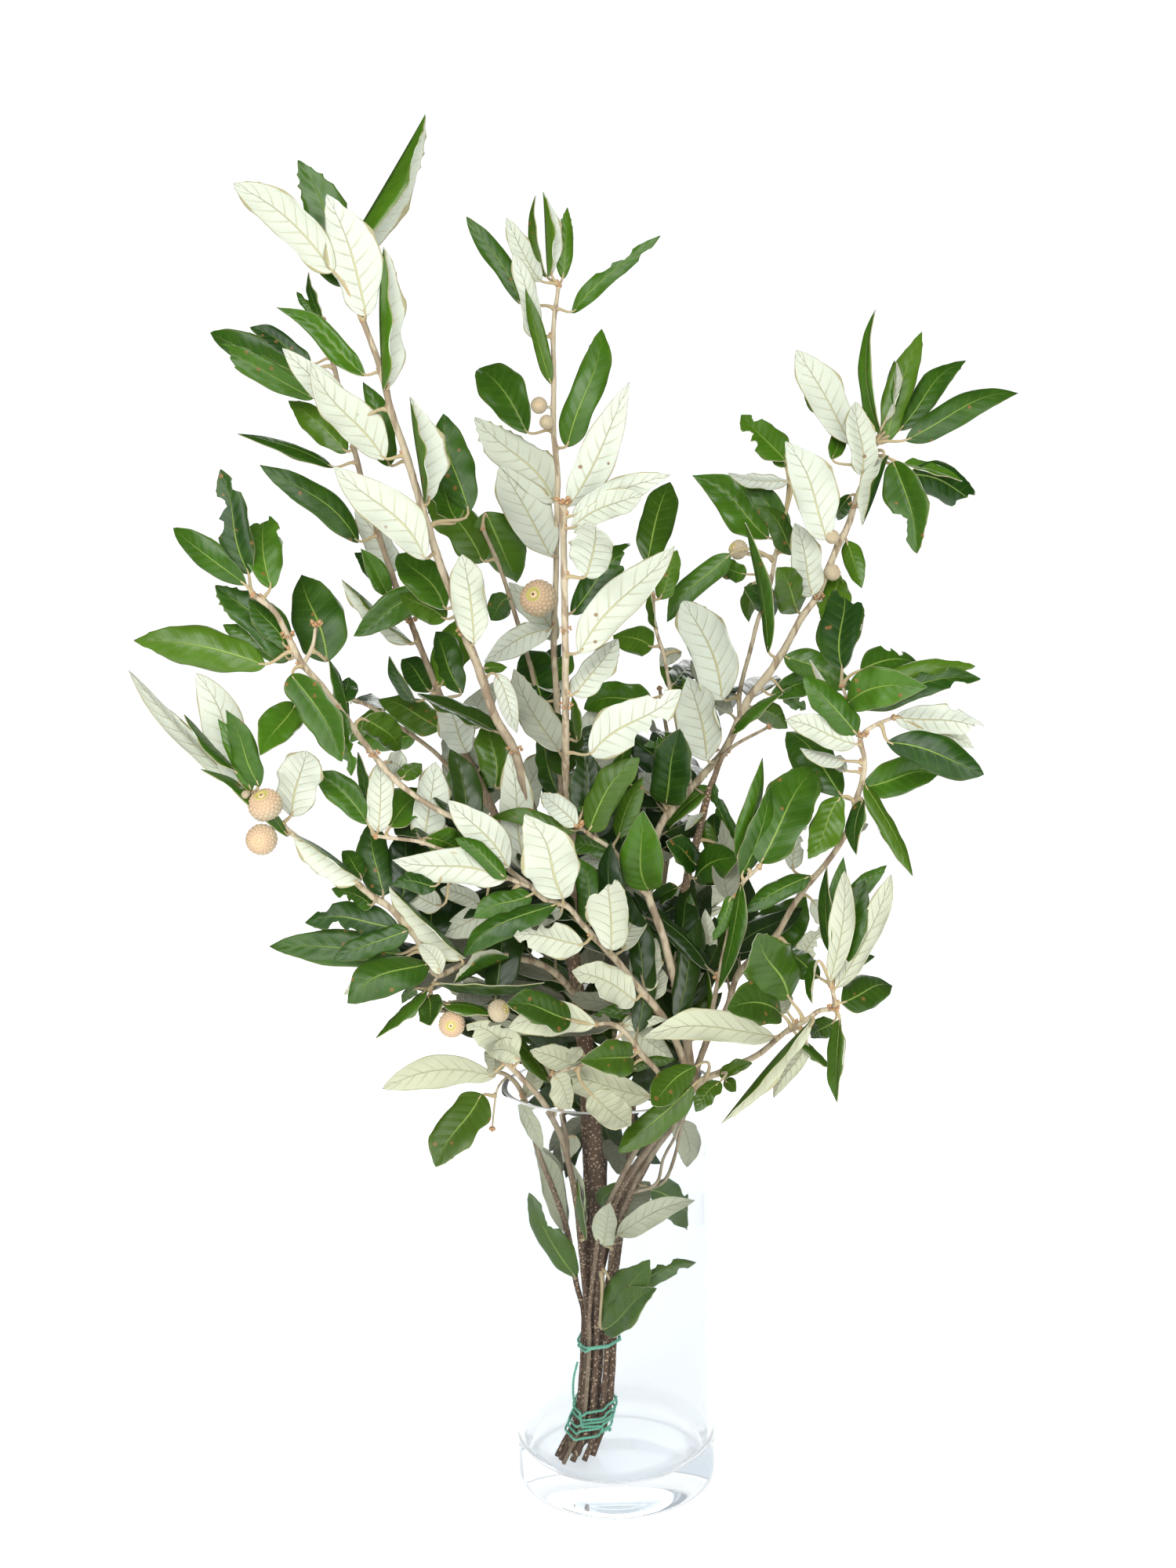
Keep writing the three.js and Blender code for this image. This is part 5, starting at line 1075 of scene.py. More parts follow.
class Branch:
    """One branch: its smooth stems, leaves and cups, all in mm."""

    STEP = 2.4

    def __init__(self, name, spec):
        self.name, self.spec = name, leaned(name, spec)
        self.paths = []
        for k, route in enumerate(self.spec["routes"]):
            rows = [[*place(x, z, y), r] for x, z, y, r in route]
            if k == 0:
                rows = foot_rows(self.spec["foot"]) + rows
            else:
                path, i = self.on_stems(np.array(rows[0][:3]))
                rows[0][:3] = self.paths[path][i, :3]
            self.paths.append(smooth_path(rows, self.STEP))
        self.joints = []  # where leaves and cups leave a stem: path number, ring, direction, strength
        if "leaves" in self.spec:
            self.leaves = [self.table_leaf(row, i + 1) for i, row in enumerate(self.spec["leaves"])]
            self.leaves += self.inner_leaves()
        else:
            self.leaves = self.spiral_leaves()
        self.leaves += [self.deep_leaf(row, i) for i, row in enumerate(DEEP_LEAVES.get(name, []))]
        for leaf in self.leaves:
            path, i = self.on_stems(leaf["twig"])
            leaf["twig"] = self.paths[path][i, :3].copy()
            leaf["stem_radius"] = self.paths[path][i, 3]
            leaf["stem_way"] = way_at(self.paths[path], i)
            self.joints.append((path, i, unit(leaf["foot"] - leaf["twig"]), 0.9))
        self.cups = [self.table_cup(row) for row in self.spec.get("cups", [])]
        for cup in self.cups:
            self.joints.append((cup["path"], cup["ring"], unit(cup["centre"] - cup["twig"]), 1.4))

    def on_stems(self, point):
        """Path and ring nearest to a point."""
        found = []
        for k, path in enumerate(self.paths):
            d = np.linalg.norm(path[:, :3] - point, axis=1)
            i = int(np.argmin(d))
            found.append((d[i], k, i))
        return min(found)[1:]

    def table_leaf(self, row, index):
        """A leaf of the table, its tip moved in depth so far that its length suits its width."""
        fx, fz, tx, tz, side, w, lift, lean, form = row
        ax, az, ay = nearest_row(self.spec["routes"], fx, fz)
        seen = math.hypot(tx - fx, tz - fz)
        full = 0 if form == 5 else min(LEAF_LENGTH_MOST, LEAF_LENGTH * w)
        turn = 0
        if full > seen:
            turn = min(0.75 * math.sqrt(full * full - seen * seen), 1.1 * seen, TIP_DEPTH_MOST)
        way = -1 if lean < 0 or (lean == 0 and wave(index + 50) < 0.5) else 1
        foot = place(fx, fz, ay + lift)
        tip = place(tx, tz, ay + lift + max(abs(lean), turn) * way)
        axis = unit(tip - foot)
        to_eye = unit(TABLE_EYE - (foot + tip) / 2)
        if form == 5:
            width = max(13, w * 1.3)
            roll = (1 if wave(index) > 0.5 else -1) * math.acos(min(1, w / width))
        else:
            roll = (wave(index) - 0.5) * 0.8
            width = w * 1.19 / math.cos(roll)
        darker = np.dot(turned(to_eye, axis, roll), LIT_FROM) < np.dot(turned(to_eye, axis, -roll), LIT_FROM)
        if darker and (wave(index + 21) < 0.7 or w > 15):
            roll = -roll  # most blades turn their face to the light
        face = turned(to_eye, axis, roll) * side
        fold = None
        if index in FOLDED.get(self.name, {}):
            # both halves lie to one side of the midrib, the near one bent towards the eye
            share, right = FOLDED[self.name][index]
            near = math.acos(share)
            plus, minus = (near, math.radians(350)) if right else (math.radians(-170), math.pi - near)
            aim, fold = (plus + minus) / 2, math.pi / 2 - (minus - plus) / 2
            sight = unit(to_eye - axis * np.dot(to_eye, axis))
            face = np.cross(axis, sight) * math.cos(aim) + sight * math.sin(aim)
            width = min(27, w * 1.9)
        return leaf_of(foot, tip, place(ax, az, ay), face, width, form, index, fold)

    def deep_leaf(self, row, i):
        """A leaf at the heart of the bunch, darkened with painted shade."""
        fx, fz, tx, tz, side, w, y = row
        k = 700 + i * 13 + len(self.name) * 5
        foot, tip = place(fx, fz, y), place(tx, tz, y + 8 * wave(k))
        path, at = self.on_stems(foot)
        roll = (wave(k + 2) - 0.5) * 0.9
        face = turned(unit(TABLE_EYE - foot), unit(tip - foot), roll) * side
        twig = self.paths[path][at, :3].copy()
        return leaf_of(foot, tip, twig, face, w * 1.1, int(i % 5 == 4), k, None, 0.8 * shade_at(foot, tip))

    def spiral_leaves(self):
        """Leaves set round a far stem."""
        first, count = self.spec["first"], self.spec["count"]
        path = self.paths[0]
        path = path[np.argmax(path[:, 2] > 100) :]
        made = []
        for i in range(count * 5):
            if len(made) == count:
                break
            k = i + first
            at = int((0.44 + 0.56 * ((i * GOLDEN_SHARE) % 1)) * (len(path) - 1))
            twig, way = path[at, :3], way_at(path, at)
            flat = np.array([math.cos(k * GOLDEN_ANGLE), math.sin(k * GOLDEN_ANGLE) + 0.55, 0])
            flat = unit(flat - way * np.dot(flat, way))
            axis = unit(flat * 0.8 + way * (0.35 + 0.3 * wave(k)) + np.array([0, 0, 0.25 * wave(k + 9)]))
            foot = twig + axis * 8
            tip = foot + axis * (40 + 18 * wave(k + 3))
            if not fits(foot, tip, made, 9, 5, past_far_leaves):
                continue
            face = unit(np.array([0.5 * (wave(k + 7) - 0.5), 0.7, 1.0]) + flat * 0.25)
            shade = 0.6 * shade_at(foot, tip)
            width, form = 14 + 7 * wave(k + 5), int(k % 3 == 0)
            made.append(leaf_of(foot, tip, twig.copy(), face, width, form, k * 7, None, shade))
        return made

    def inner_leaves(self):
        """Leaves on the far side of the branch, where the bunch is thick."""
        made = []
        spots = [(p, at) for p, path in enumerate(self.paths) for at in range(3, len(path) - 2, 5) if path[at, 2] > 218]
        for n, (p, at) in enumerate(spots):
            path = self.paths[p]
            k = 300 + n * 11 + len(self.name) * 3
            twig, way = path[at, :3], way_at(path, at)
            turn = n * GOLDEN_ANGLE + len(self.name)
            flat = np.array([math.cos(turn) * 1.1, abs(math.sin(turn)) + 0.35, 0.5 * wave(k + 2) - 0.1])
            flat = unit(flat - way * np.dot(flat, way))
            axis = unit(flat * 0.8 + way * (0.3 + 0.4 * wave(k)))
            foot = twig + axis * (path[at, 3] + 5)
            tip = foot + axis * (36 + 18 * wave(k + 3))
            if not fits(foot, tip, made, 11, 4, past_inner_leaves):
                continue
            face = unit(np.array([0.9 * (wave(k + 7) - 0.5), -0.6, 0.8]) * (1 if wave(k + 8) < 0.6 else -1))
            shade = (0.75 if twig[2] < 330 else 0.5) * shade_at(foot, tip)
            width, form = 14 + 8 * wave(k + 5), int(n % 4 == 0)
            made.append(leaf_of(foot, tip, twig.copy(), face, width, form, k, None, shade))
        return made

    def table_cup(self, row):
        x, z, lift, size, way = row
        ax, az, ay = nearest_row(self.spec["routes"], x, z)
        path, ring = self.on_stems(place(ax, az, ay))
        return {
            "centre": place(x, z, ay + lift), "size": size, "way": unit(np.array(CUP_AIM[way])), "closed": way == "c",
            "path": path, "ring": ring, "twig": self.paths[path][ring, :3].copy(),
        }


# ---------------------------------------------------------------- leaf patterns
NOMINAL_LENGTH, NOMINAL_WIDTH = 60.0, 18.0
# blunt and sharp: fullness of the outline towards foot and tip; teeth: height in mm, number, start; stray: how
# far the outline wanders; seed; bites: side, place, length, depth; cut: height, slant
Outline = namedtuple("Outline", "blunt sharp teeth stray seed bites cut", defaults=((), None))
LEAF_PATTERNS = {
    "broad": Outline(0.60, 0.86, (0.25, 12, 0.45), 0.05, 3),
    "broad_waved": Outline(0.56, 0.80, (0.40, 9, 0.4), 0.10, 11),
    "lance": Outline(0.66, 0.96, (0.22, 11, 0.5), 0.05, 19),
    "lance_waved": Outline(0.62, 0.88, (0.50, 8, 0.42), 0.10, 29),
    "late": Outline(0.76, 0.80, (0.35, 9, 0.5), 0.06, 37),
    "narrow": Outline(0.72, 1.05, (0.12, 10, 0.5), 0.04, 43),
    "toothed": Outline(0.60, 0.88, (1.05, 9, 0.30), 0.07, 53),
    "spiny": Outline(0.56, 0.80, (1.6, 7, 0.22), 0.08, 61),
    "spiny_long": Outline(0.62, 0.92, (1.3, 10, 0.3), 0.06, 71),
    "bitten": Outline(
        0.58, 0.82, (0.5, 9, 0.4), 0.08, 83, bites=[(1, 0.66, 0.10, 0.62), (1, 0.78, 0.05, 0.35)],
    ),
    "bitten_twice": Outline(
        0.60, 0.86, (0.7, 9, 0.35), 0.07, 97,
        bites=[(-1, 0.48, 0.075, 0.5), (-1, 0.66, 0.09, 0.66), (1, 0.8, 0.06, 0.5)],
    ),
    "torn_end": Outline(0.58, 0.70, (0.4, 9, 0.5), 0.07, 101, bites=[(1, 0.62, 0.06, 0.3)], cut=(0.84, 0.10)),
    "cut_end": Outline(0.60, 0.74, (0.7, 9, 0.4), 0.08, 113, cut=(0.76, -0.14)),
}
FORM_PATTERNS = {
    0: ("broad", "lance", "narrow", "broad_waved", "lance_waved", "late", "lance", "broad_waved"),
    1: ("toothed", "spiny", "spiny_long"),
    2: ("bitten", "bitten_twice"),
    3: ("torn_end", "cut_end"),
    4: ("broad_waved", "lance_waved", "toothed"),
    5: ("lance", "narrow"),
}


def blade_profile(v, blunt, sharp):
    """Half width of a blade at v from foot to tip, 1 at its widest."""
    peak = blunt / (blunt + sharp)
    top = peak**blunt * (1 - peak) ** sharp
    return np.maximum(0, v) ** blunt * np.maximum(0, 1 - v) ** sharp / top


def wander(v, shape, side):
    """How one margin of a blade strays from its even outline: slow bays, and teeth of uneven size and spacing."""
    seed = shape.seed + (7.3 if side > 0 else 0.0)
    slow, quick = np.sin(TURN * (v * 1.35 + wave(seed))), np.sin(TURN * (v * 2.8 + wave(seed + 1)))
    bays = 1 + shape.stray * (slow + 0.7 * quick)
    height, number, start = shape.teeth
    phase = v * number + 0.32 * np.sin(TURN * (v * 1.9 + wave(seed + 2))) + wave(seed + 3)
    index = np.floor(phase)
    local = phase - index
    heights = np.array([0.25 + 0.75 * wave(seed + n * 3.7) for n in range(number + 4)])
    nearest = np.clip(index + (local > 0.5), 0, number + 3).astype(int)
    spine = np.abs(2 * local - 1) ** 2.6 * heights[nearest]
    spine = spine * ramp(v, start, 0.12) * np.clip((1.0 - v) / 0.06, 0, 1)
    return bays, spine * height / (NOMINAL_WIDTH / 2)


def outline(u, v, shape):
    """Grid places, u from -1 to 1 across and v from 0 to 1 along, set to a blade's outline: x and y, and the
    half width that the even outline has there."""
    if shape.cut:
        top, slant = shape.cut
        ragged = 0.022 * np.sin(u * 9.0 + 1.0) + 0.016 * np.sin(u * 23.0)
        end = top + slant * u + ragged
        v = np.where(v > 0.5, 0.5 + (v - 0.5) * (end - 0.5) / 0.5, v)
    full = np.maximum(blade_profile(v, shape.blunt, shape.sharp), 0.055 - 0.045 * v)
    half = full.copy()
    for side in (-1, 1):
        bays, spine = wander(v, shape, side)
        here = np.sign(u) == side
        half = np.where(here, half * bays + spine, half)
        v = v + here * spine * 0.09 * np.clip(np.abs(u), 0, 1) ** 4
    for side, at, span, depth in shape.bites:
        away = (v - at) / span
        scoop = np.sqrt(np.clip(1 - away**2, 0, 1)) * depth * (1 + 0.12 * np.sin(v * 90))
        half = np.where(np.sign(u) == side, half * (1 - scoop), half)
    # the grid stays even near the midrib and takes up teeth and bites towards the margin
    edge = ramp(np.abs(u), 0.35, 0.65)
    reach = full * (1 - edge) + half * edge
    reach = np.where(half < full * 0.95, np.minimum(reach, half + (1 - np.abs(u)) * 0.02), reach)
    return u * reach, v, full


def leaf_pattern(name, shape, leaf):
    """A flat blade at its nominal size, from a grid, given its outline, its ribs and its thickness."""
    only()
    bpy.ops.mesh.primitive_grid_add(x_subdivisions=leaf.across, y_subdivisions=leaf.along, size=2, location=(0, 0, 0))
    blade = bpy.context.object
    blade.name = "pattern_" + name
    mesh = blade.data
    grid = vertex_rows(mesh)
    u, v = grid[:, 0], (grid[:, 1] + 1) / 2
    u = np.sign(u) * (1 - (1 - np.abs(u)) ** 1.3)
    v = v - np.sin(TURN * v) / TURN * 0.3
    x, v, full = outline(u, v, shape)
    flat = np.column_stack([x * NOMINAL_WIDTH / 2 * MM, v * NOMINAL_LENGTH * MM, 0 * x])
    mesh.vertices.foreach_set("co", flat.ravel())
    across = np.clip(0.5 + 0.5 * x / np.maximum(full, 0.02), 0, 1)
    layer = mesh.uv_layers[0]
    layer.name = "UVMap"
    layer.data.foreach_set("uv", np.column_stack([across, v])[corner_vertices(mesh)].ravel())
    wall = blade.modifiers.new("blade", "SOLIDIFY")
    wall.thickness = leaf.thickness
    wall.offset = 0
    wall.material_offset = 1
    wall.material_offset_rim = 1
    for _ in range(2):  # upper side and underside
        mesh.materials.append(None)
    only(blade)
    bpy.ops.object.modifier_apply(modifier="blade")
    mesh = blade.data
    uvs = np.zeros((len(mesh.vertices), 2))
    raw = np.empty(len(mesh.loops) * 2)
    mesh.uv_layers[0].data.foreach_get("uv", raw)
    uvs[corner_vertices(mesh)] = raw.reshape(-1, 2)
    pattern = taken(blade)
    points = pattern["points"] / MM
    # a groove along the midrib above, a raised rib below, and a thin margin
    out = np.abs(uvs[:, 0] * 2 - 1)
    on_rib = np.clip(1 - out / 0.12, 0, 1) * (1.1 - uvs[:, 1])
    points[:, 2] = np.where(points[:, 2] > 0, points[:, 2] - 0.16 * on_rib, points[:, 2] - 0.42 * on_rib)
    side = (uvs[:, 1] * RIBS - out * RIB_SLANT + (uvs[:, 0] > 0.5) * RIB_SHIFT) % 1.0
    points[:, 2] += (0.5 - np.abs(side - 0.5)) * 0.42 * np.sin(np.clip(out, 0, 1) * math.pi) - 0.1
    return {**pattern, "points": points, "uvs": uvs}


def bend_leaf(pattern, leaf):
    """The pattern bent to one leaf of a branch: curved along, folded at the midrib, twisted and waved. Gives
    its points, the direction in which it starts, and how far its foot hangs."""
    k = leaf["index"]
    r = [wave(k * 3.1 + j * 17.3) for j in range(10)]
    foot, tip = leaf["foot"], leaf["tip"]
    axis = unit(tip - foot)
    face = unit(leaf["face"] - axis * np.dot(leaf["face"], axis))
    side = np.cross(axis, face)
    chord = np.linalg.norm(tip - foot)
    curl = -0.12 - 0.75 * r[0] if r[1] < 0.72 else 0.35 * r[0]
    if k % 9 == 0:
        curl -= 0.5
    fold = -(0.10 + 0.26 * r[2]) if r[3] < 0.7 else 0.12 + 0.3 * r[2]
    calm = 1.0
    if leaf["fold"] is not None:
        fold, curl, calm = leaf["fold"], curl * 0.3, 0.35
    length = chord / max(0.6, np.sinc(curl / 2 / math.pi))
    roll_end = (0.35 + 1.0 * r[4]) * calm  # how far the margins turn under
    twist = (r[5] - 0.5) * 0.6 * calm
    ripple, beat, phase = (0.35 + 0.85 * r[6]) * calm, 1.6 + 2.2 * r[7], r[8] * 6.3
    if leaf["form"] == 5:
        calm, twist, ripple = 0.3, twist * 0.4, ripple * 0.5
    scale = leaf["width"] / NOMINAL_WIDTH
    points = pattern["points"]
    v = points[:, 1] / NOMINAL_LENGTH
    across = points[:, 0] * scale
    # a tip cut short keeps its foot and its tip where the table says
    v_chord = v / v.max()
    theta = curl * (v_chord - 0.5)
    centre_along, centre_up = length * v_chord, 0 * v
    if abs(curl) > 1e-3:
        centre_along = length * (np.sin(theta) + math.sin(curl / 2)) / curl
        centre_up = length * (math.cos(curl / 2) - np.cos(theta)) / curl
    sway = ((r[9] - 0.5) * 0.10 + 0.06 * side[2]) * calm * chord * np.sin(math.pi * v_chord)
    sway = sway + (wave(k + 0.7) - 0.5) * 0.06 * calm * chord * np.sin(TURN * v_chord)
    # across the blade: flat to near the margin, which rolls under, one margin more than the other
    half = leaf["width"] / 2
    hard = 1.9 if wave(k + 4.4) < 0.45 else 1.0
    end = roll_end * np.where((across > 0) == (wave(k + 8.8) < 0.5), hard, 0.8)
    end = end * np.clip(v * 5, 0, 1) * np.clip((1.04 - v) * 6, 0, 1)
    start = half * 0.62
    past = np.clip(np.abs(across) - start, 0, None)
    bend = past / (half - start) * end
    radius = (half - start) / np.maximum(end, 1e-4)
    wide = np.minimum(np.abs(across), start) + np.where(past > 0, radius * np.sin(bend), 0)
    drop = np.where(past > 0, radius * (1 - np.cos(bend)), 0)
    flat = np.sign(across) * (wide * math.cos(fold) + drop * math.sin(fold))
    lift = wide * math.sin(fold) - drop * math.cos(fold)
    out = np.abs(across) / half
    lift = lift + ripple * scale * out**1.5 * np.sin(v * beat * TURN + phase + (across > 0) * 1.7)
    flat = flat - points[:, 2] * np.sign(across) * math.sin(fold)
    lift = lift + points[:, 2] * math.cos(fold)
    turn = twist * (v_chord - 0.5)
    flat, lift = flat * np.cos(turn) - lift * np.sin(turn), flat * np.sin(turn) + lift * np.cos(turn)
    if leaf["fold"] is not None:
        foot = foot - (flat.mean() * side + lift.mean() * face) * 0.8
    up_way = -np.sin(theta)[:, None] * axis + np.cos(theta)[:, None] * face
    spot = foot + centre_along[:, None] * axis + centre_up[:, None] * face
    spot = spot + (sway + flat)[:, None] * side + lift[:, None] * up_way
    return spot, axis * math.cos(curl / 2) - face * math.sin(curl / 2), -0.35 * face


def bore_radius(z):
    return BORE_RADIUS + (z - BORE_Z) * BORE_SLOPE if z > BORE_Z else 44.0


def clear_of_glass(points, inside):
    """Holds the part of a leaf below the rim inside or outside the glass."""
    room = 1.2
    r = np.hypot(points[:, 0], points[:, 1])
    inner = BORE_RADIUS + (np.clip(points[:, 2], BORE_Z, 200) - BORE_Z) * BORE_SLOPE - room
    outer = inner + room + GLASS_WALL + 1.0
    want = np.minimum(r, inner) if inside else np.maximum(r, outer)
    soft = np.clip((GLASS_TOP - points[:, 2]) / 3.0, 0, 1)
    k = np.where(points[:, 2] < GLASS_TOP, 1 + (want / np.maximum(r, 1e-6) - 1) * soft, 1.0)
    points[:, 0] *= k
    points[:, 1] *= k
    return points


def leaf_tone(leaf):
    """Hue, lightness and spots of a leaf. Low in the bunch they are warmer and darker; a negative lightness is painted
    shade.
    """
    k = leaf["index"]
    hue, light, spots = wave(k + 5.5), wave(k * 1.7 + 2.2), wave(k * 2.3 + 9.1)
    warm = np.clip((345 - leaf["foot"][2]) / 140, 0, 1)
    hue = 0.85 + warm * 0.95 if warm > 0.1 else min(hue, 0.95)
    if leaf["shade"]:
        return hue, -leaf["shade"], 0.3
    return hue, light * (1 - 0.85 * warm), spots


def grow_leaves(branch, heap, patterns):
    for leaf in branch.leaves:
        names = FORM_PATTERNS[leaf["form"]]
        pattern = patterns[names[int(wave(leaf["index"] + 77) * len(names)) % len(names)]]
        spot, way, down = bend_leaf(pattern, leaf)
        foot = leaf["foot"]
        if spot[:, 2].min() < GLASS_TOP:
            inside = math.hypot(foot[0], foot[1]) < bore_radius(min(foot[2], 200)) - 0.5 and foot[2] < 207
            spot = clear_of_glass(spot, inside)
        tone = leaf_tone(leaf)
        heap.add(spot, pattern["faces"], pattern["uvs"], tone, pattern["slots"])
        # the stalk leaves the twig at a slant and runs on into the midrib
        start = leaf["twig"] + unit(foot - leaf["twig"]) * leaf["stem_radius"] * 0.5
        gap = np.linalg.norm(foot - start)
        leave = unit(unit(foot - start) * 0.8 + leaf["stem_way"] * 0.6)
        path = bezier(start, start + leave * gap * 0.35, foot - way * gap * 0.35, foot + way * 3.0 + down, 9)
        radii = np.linspace(0.95, 0.5, 9) * (0.75 + 0.35 * min(1, leaf["width"] / 18))
        radii[0] *= 1.45
        radii[1] *= 1.15
        heap.tube(path, radii, 6, tone, slot=1, uvs=(0.5, -0.1))


# ---------------------------------------------------------------- stems, buds and cups
def stem_tones(branch, path, number):
    """Age of the bark at each ring, and how thick the stem is there."""
    rim_age, fade = WOOD_AGE[branch.name]
    if branch.name == "branch_centre":
        rim_age += CENTRE_AGES[number]
    up = np.clip((path[:, 2] - 200) / 200, 0, 2)
    # below the rim the bark is made darker towards the foot of the stem
    down = ramp(path[:, 2], 200, -120) if rim_age > 0.4 else ramp(path[:, 2], 188, -80)
    thick = ramp(path[:, 3], 2.4, 3.0)
    age = np.clip(rim_age - fade * up * 1.6 + down * 0.8 + thick * 0.35, 0, 1)
    if branch.name in OLD_BRANCHES:
        age = np.maximum(age, 0.42)
    age = age * (1 - 0.55 * ramp(path[:, 3], 1.75, -0.5))
    return np.column_stack([age, thick, 0 * age])


def grow_stems(branch, heap):
    for number, path in enumerate(branch.paths):
        points, radii = path[:, :3].copy(), path[:, 3].copy()
        sides = 16 if radii.max() > 3.5 else 12
        tangent, ring = rings_round(points, sides)
        along = run_of(points)
        reach = np.ones((len(points), sides)) * radii[:, None] * SLIM.get(branch.name, SLIM_MOST)
        swell = np.zeros_like(reach)
        for at_path, at, way, strength in branch.joints:
            if at_path != number:
                continue
            near = np.exp(-(((along - along[at]) / 2.6) ** 2))
            toward = np.clip(ring @ way, 0, 1)
            swell = np.maximum(swell, (strength * near)[:, None] * (0.2 + 0.8 * toward) * min(1, radii[at] / 2))
        reach += swell * 0.5
        tone = stem_tones(branch, path, number)
        for i, p in enumerate(points):
            for k in range(sides):
                spot = Vector(p + ring[i, k] * reach[i, k])
                rough = noise.noise(spot * 0.35) * 0.16 + noise.noise(spot * 0.9) * 0.10
                rough += max(0.0, noise.noise(spot * 1.3 + Vector((7, 3, 1))) - 0.25) * 1.1 * tone[i, 1] * 1.6
                reach[i, k] += rough * min(1.6, radii[i] / 2.0)
        body = points[:, None, :] + ring * reach[:, :, None]
        cut = 0.15 if number == 0 else 0.6
        ends = np.array([points[0] - tangent[0] * cut, points[-1] + tangent[-1] * radii[-1] * 0.7])
        if number == 0:  # the cut end stands on the glass
            for part in (body, ends):
                part[..., 2] = np.maximum(part[..., 2], FLOOR_INSIDE + 0.3)
        heap.skin(body, ends, tone)


def bud_pattern():
    """One bud, about 2.6 mm long, pointing along +Z, with overlapping scales."""
    pattern = ball(10, 8)
    points = pattern["points"]
    z = points[:, 2].copy()
    around = np.arctan2(points[:, 1], points[:, 0])
    scale = 1 + 0.16 * np.sign(np.sin(around * 2.5 + np.round(z * 4) * 1.6))
    points[:, 0] *= scale * (1 - 0.25 * z)
    points[:, 1] *= scale * (1 - 0.25 * z)
    points[:, 2] = z * 1.35 + 0.9
    return pattern


def grow_buds(branch, heap, pattern):
    def put(spot, way, size):
        heap.add(pattern["points"] * size @ facing(way) + spot, pattern["faces"], (0, 0), (0.5, 0.5, 0.5))

    for leaf in branch.leaves:
        k = leaf["index"]
        if wave(k + 31) < 0.55:
            out = unit(leaf["foot"] - leaf["twig"])
            spot = leaf["twig"] + unit(out + leaf["stem_way"] * 1.1) * (leaf["stem_radius"] + 0.3)
            put(spot, out + leaf["stem_way"], 0.5 + 0.35 * wave(k + 3))
    for path in branch.paths:
        tip, way = path[-1, :3], unit(path[-1, :3] - path[-3, :3])
        put(tip - way * 0.6, way, 1.0)
        for j in range(1, 5):
            tilt = facing(way)[0] * math.cos(j * 1.26) * 0.55 + facing(way)[1] * math.sin(j * 1.26) * 0.55
            put(tip + tilt * 1.2 - way * 0.6, way + tilt, 0.7)
    for x, z, across in BUD_CLUSTERS.get(branch.name, []):
        number, at = branch.on_stems(place(*nearest_row(branch.spec["routes"], x, z)))
        centre, radius = branch.paths[number][at, :3], branch.paths[number][at, 3]
        for j in range(9):
            a = j * 2.4
            out = np.array([math.cos(a), -abs(math.sin(a)) * 0.9, 0.5 * math.sin(j * 1.7)])
            put(centre + unit(out) * (radius + 0.3), out + np.array([0, 0, 0.7]), across * (0.45 + 0.4 * wave(j + x)))


MOUTH, NUT, NUT_TIP = 0.42, 0.22, 0.08  # how far from the cup's axis each of them reaches, as an angle
CUP_HEIGHT = 0.92
SCALE_ROWS, SCALES_ROUND = 4.2, 18  # rows of scales in a radian, and scales in a row


def cup_pattern():
    """A young acorn cup of radius 1 opening along +Z: rows of small scales, a ring at the mouth and the top of
    the nut."""
    pattern = ball(96, 72)
    points = pattern["points"]
    around = np.arctan2(points[:, 1], points[:, 0])
    polar = np.arccos(np.clip(points[:, 2], -1, 1))  # 0 at the mouth's middle, pi at the stalk
    row = polar * SCALE_ROWS
    level = np.floor(row)
    cell = (around / TURN * SCALES_ROUND + 0.5 * (level % 2)) % 1.0
    scale = np.clip(1.2 - np.abs(cell - 0.5) * 2.2, 0, 1) * (0.15 + 0.85 * (row - level))
    body = ramp(polar, MOUTH, 0.08)
    lumps = 1 + 0.02 * np.sin(around * 3 + 1) * np.sin(polar * 2)
    points = points * ((1.0 + 0.085 * scale * body) * lumps)[:, None]
    points[:, 2] *= CUP_HEIGHT
    rim = math.cos(MOUTH) * CUP_HEIGHT
    step = ramp(polar, MOUTH, -0.20)
    lip = rim + 0.035 * np.sin(step * math.pi) - 0.10 * step**3
    nut = rim - 0.10 + 0.10 * np.sqrt(np.clip(1 - (polar / NUT) ** 2, 0, 1))
    points[:, 2] = np.where(polar < NUT, nut, np.where(polar < MOUTH, lip, points[:, 2]))
    points[:, 2] = np.where(polar < NUT_TIP, points[:, 2] + 0.05, points[:, 2])
    # the first tone is painted shade in the gaps between the scales, the second the mouth ring, the third the top of
    # the nut
    tones = np.column_stack([
        (1 - scale) * body * ramp(polar, 2.9, -0.3),
        ramp(polar, 0.45, -0.05) * ramp(polar, 0.19, 0.05),
        ramp(polar, 0.20, -0.04) * 0.5 + ramp(polar, 0.09, -0.03) * 0.5,
    ])
    return {**pattern, "points": points, "tones": tones, "uvs": np.column_stack([around * 0 + 0.5, polar / math.pi])}


def grow_cups(branch, heap, pattern):
    for cup in branch.cups:
        way, radius = cup["way"], cup["size"] / 2
        tones, uvs = pattern["tones"], pattern["uvs"]
        if radius < 4.5 or cup["closed"]:  # young cups are still closed and felted
            # the closed mouth and the nut take the painted shade of the scale gaps, darkest at the middle
            tones = tones @ np.array([[1.0, 0.0, 0.0], [0.45, 0.12, 0.0], [1.0, 0.0, 0.2]])
        if radius < 5.5:  # and greyer
            uvs = uvs * np.array([1, 0.6]) + np.array([0, 0.4])
        heap.add(pattern["points"] * radius @ facing(way) + cup["centre"], pattern["faces"], uvs, tones)
        twig, back = cup["twig"], cup["centre"] - way * radius * 0.8
        gap = np.linalg.norm(back - twig)
        path = bezier(twig, twig + unit(back - twig) * gap * 0.4, back - way * gap * 0.3, back + way * 0.5, 8)
        heap.tube(path, np.linspace(1.0, 1.5, 8) * min(1.2, radius / 6), 8, (0.2, 0.0, 0.0), uvs=(0.5, 0.9))


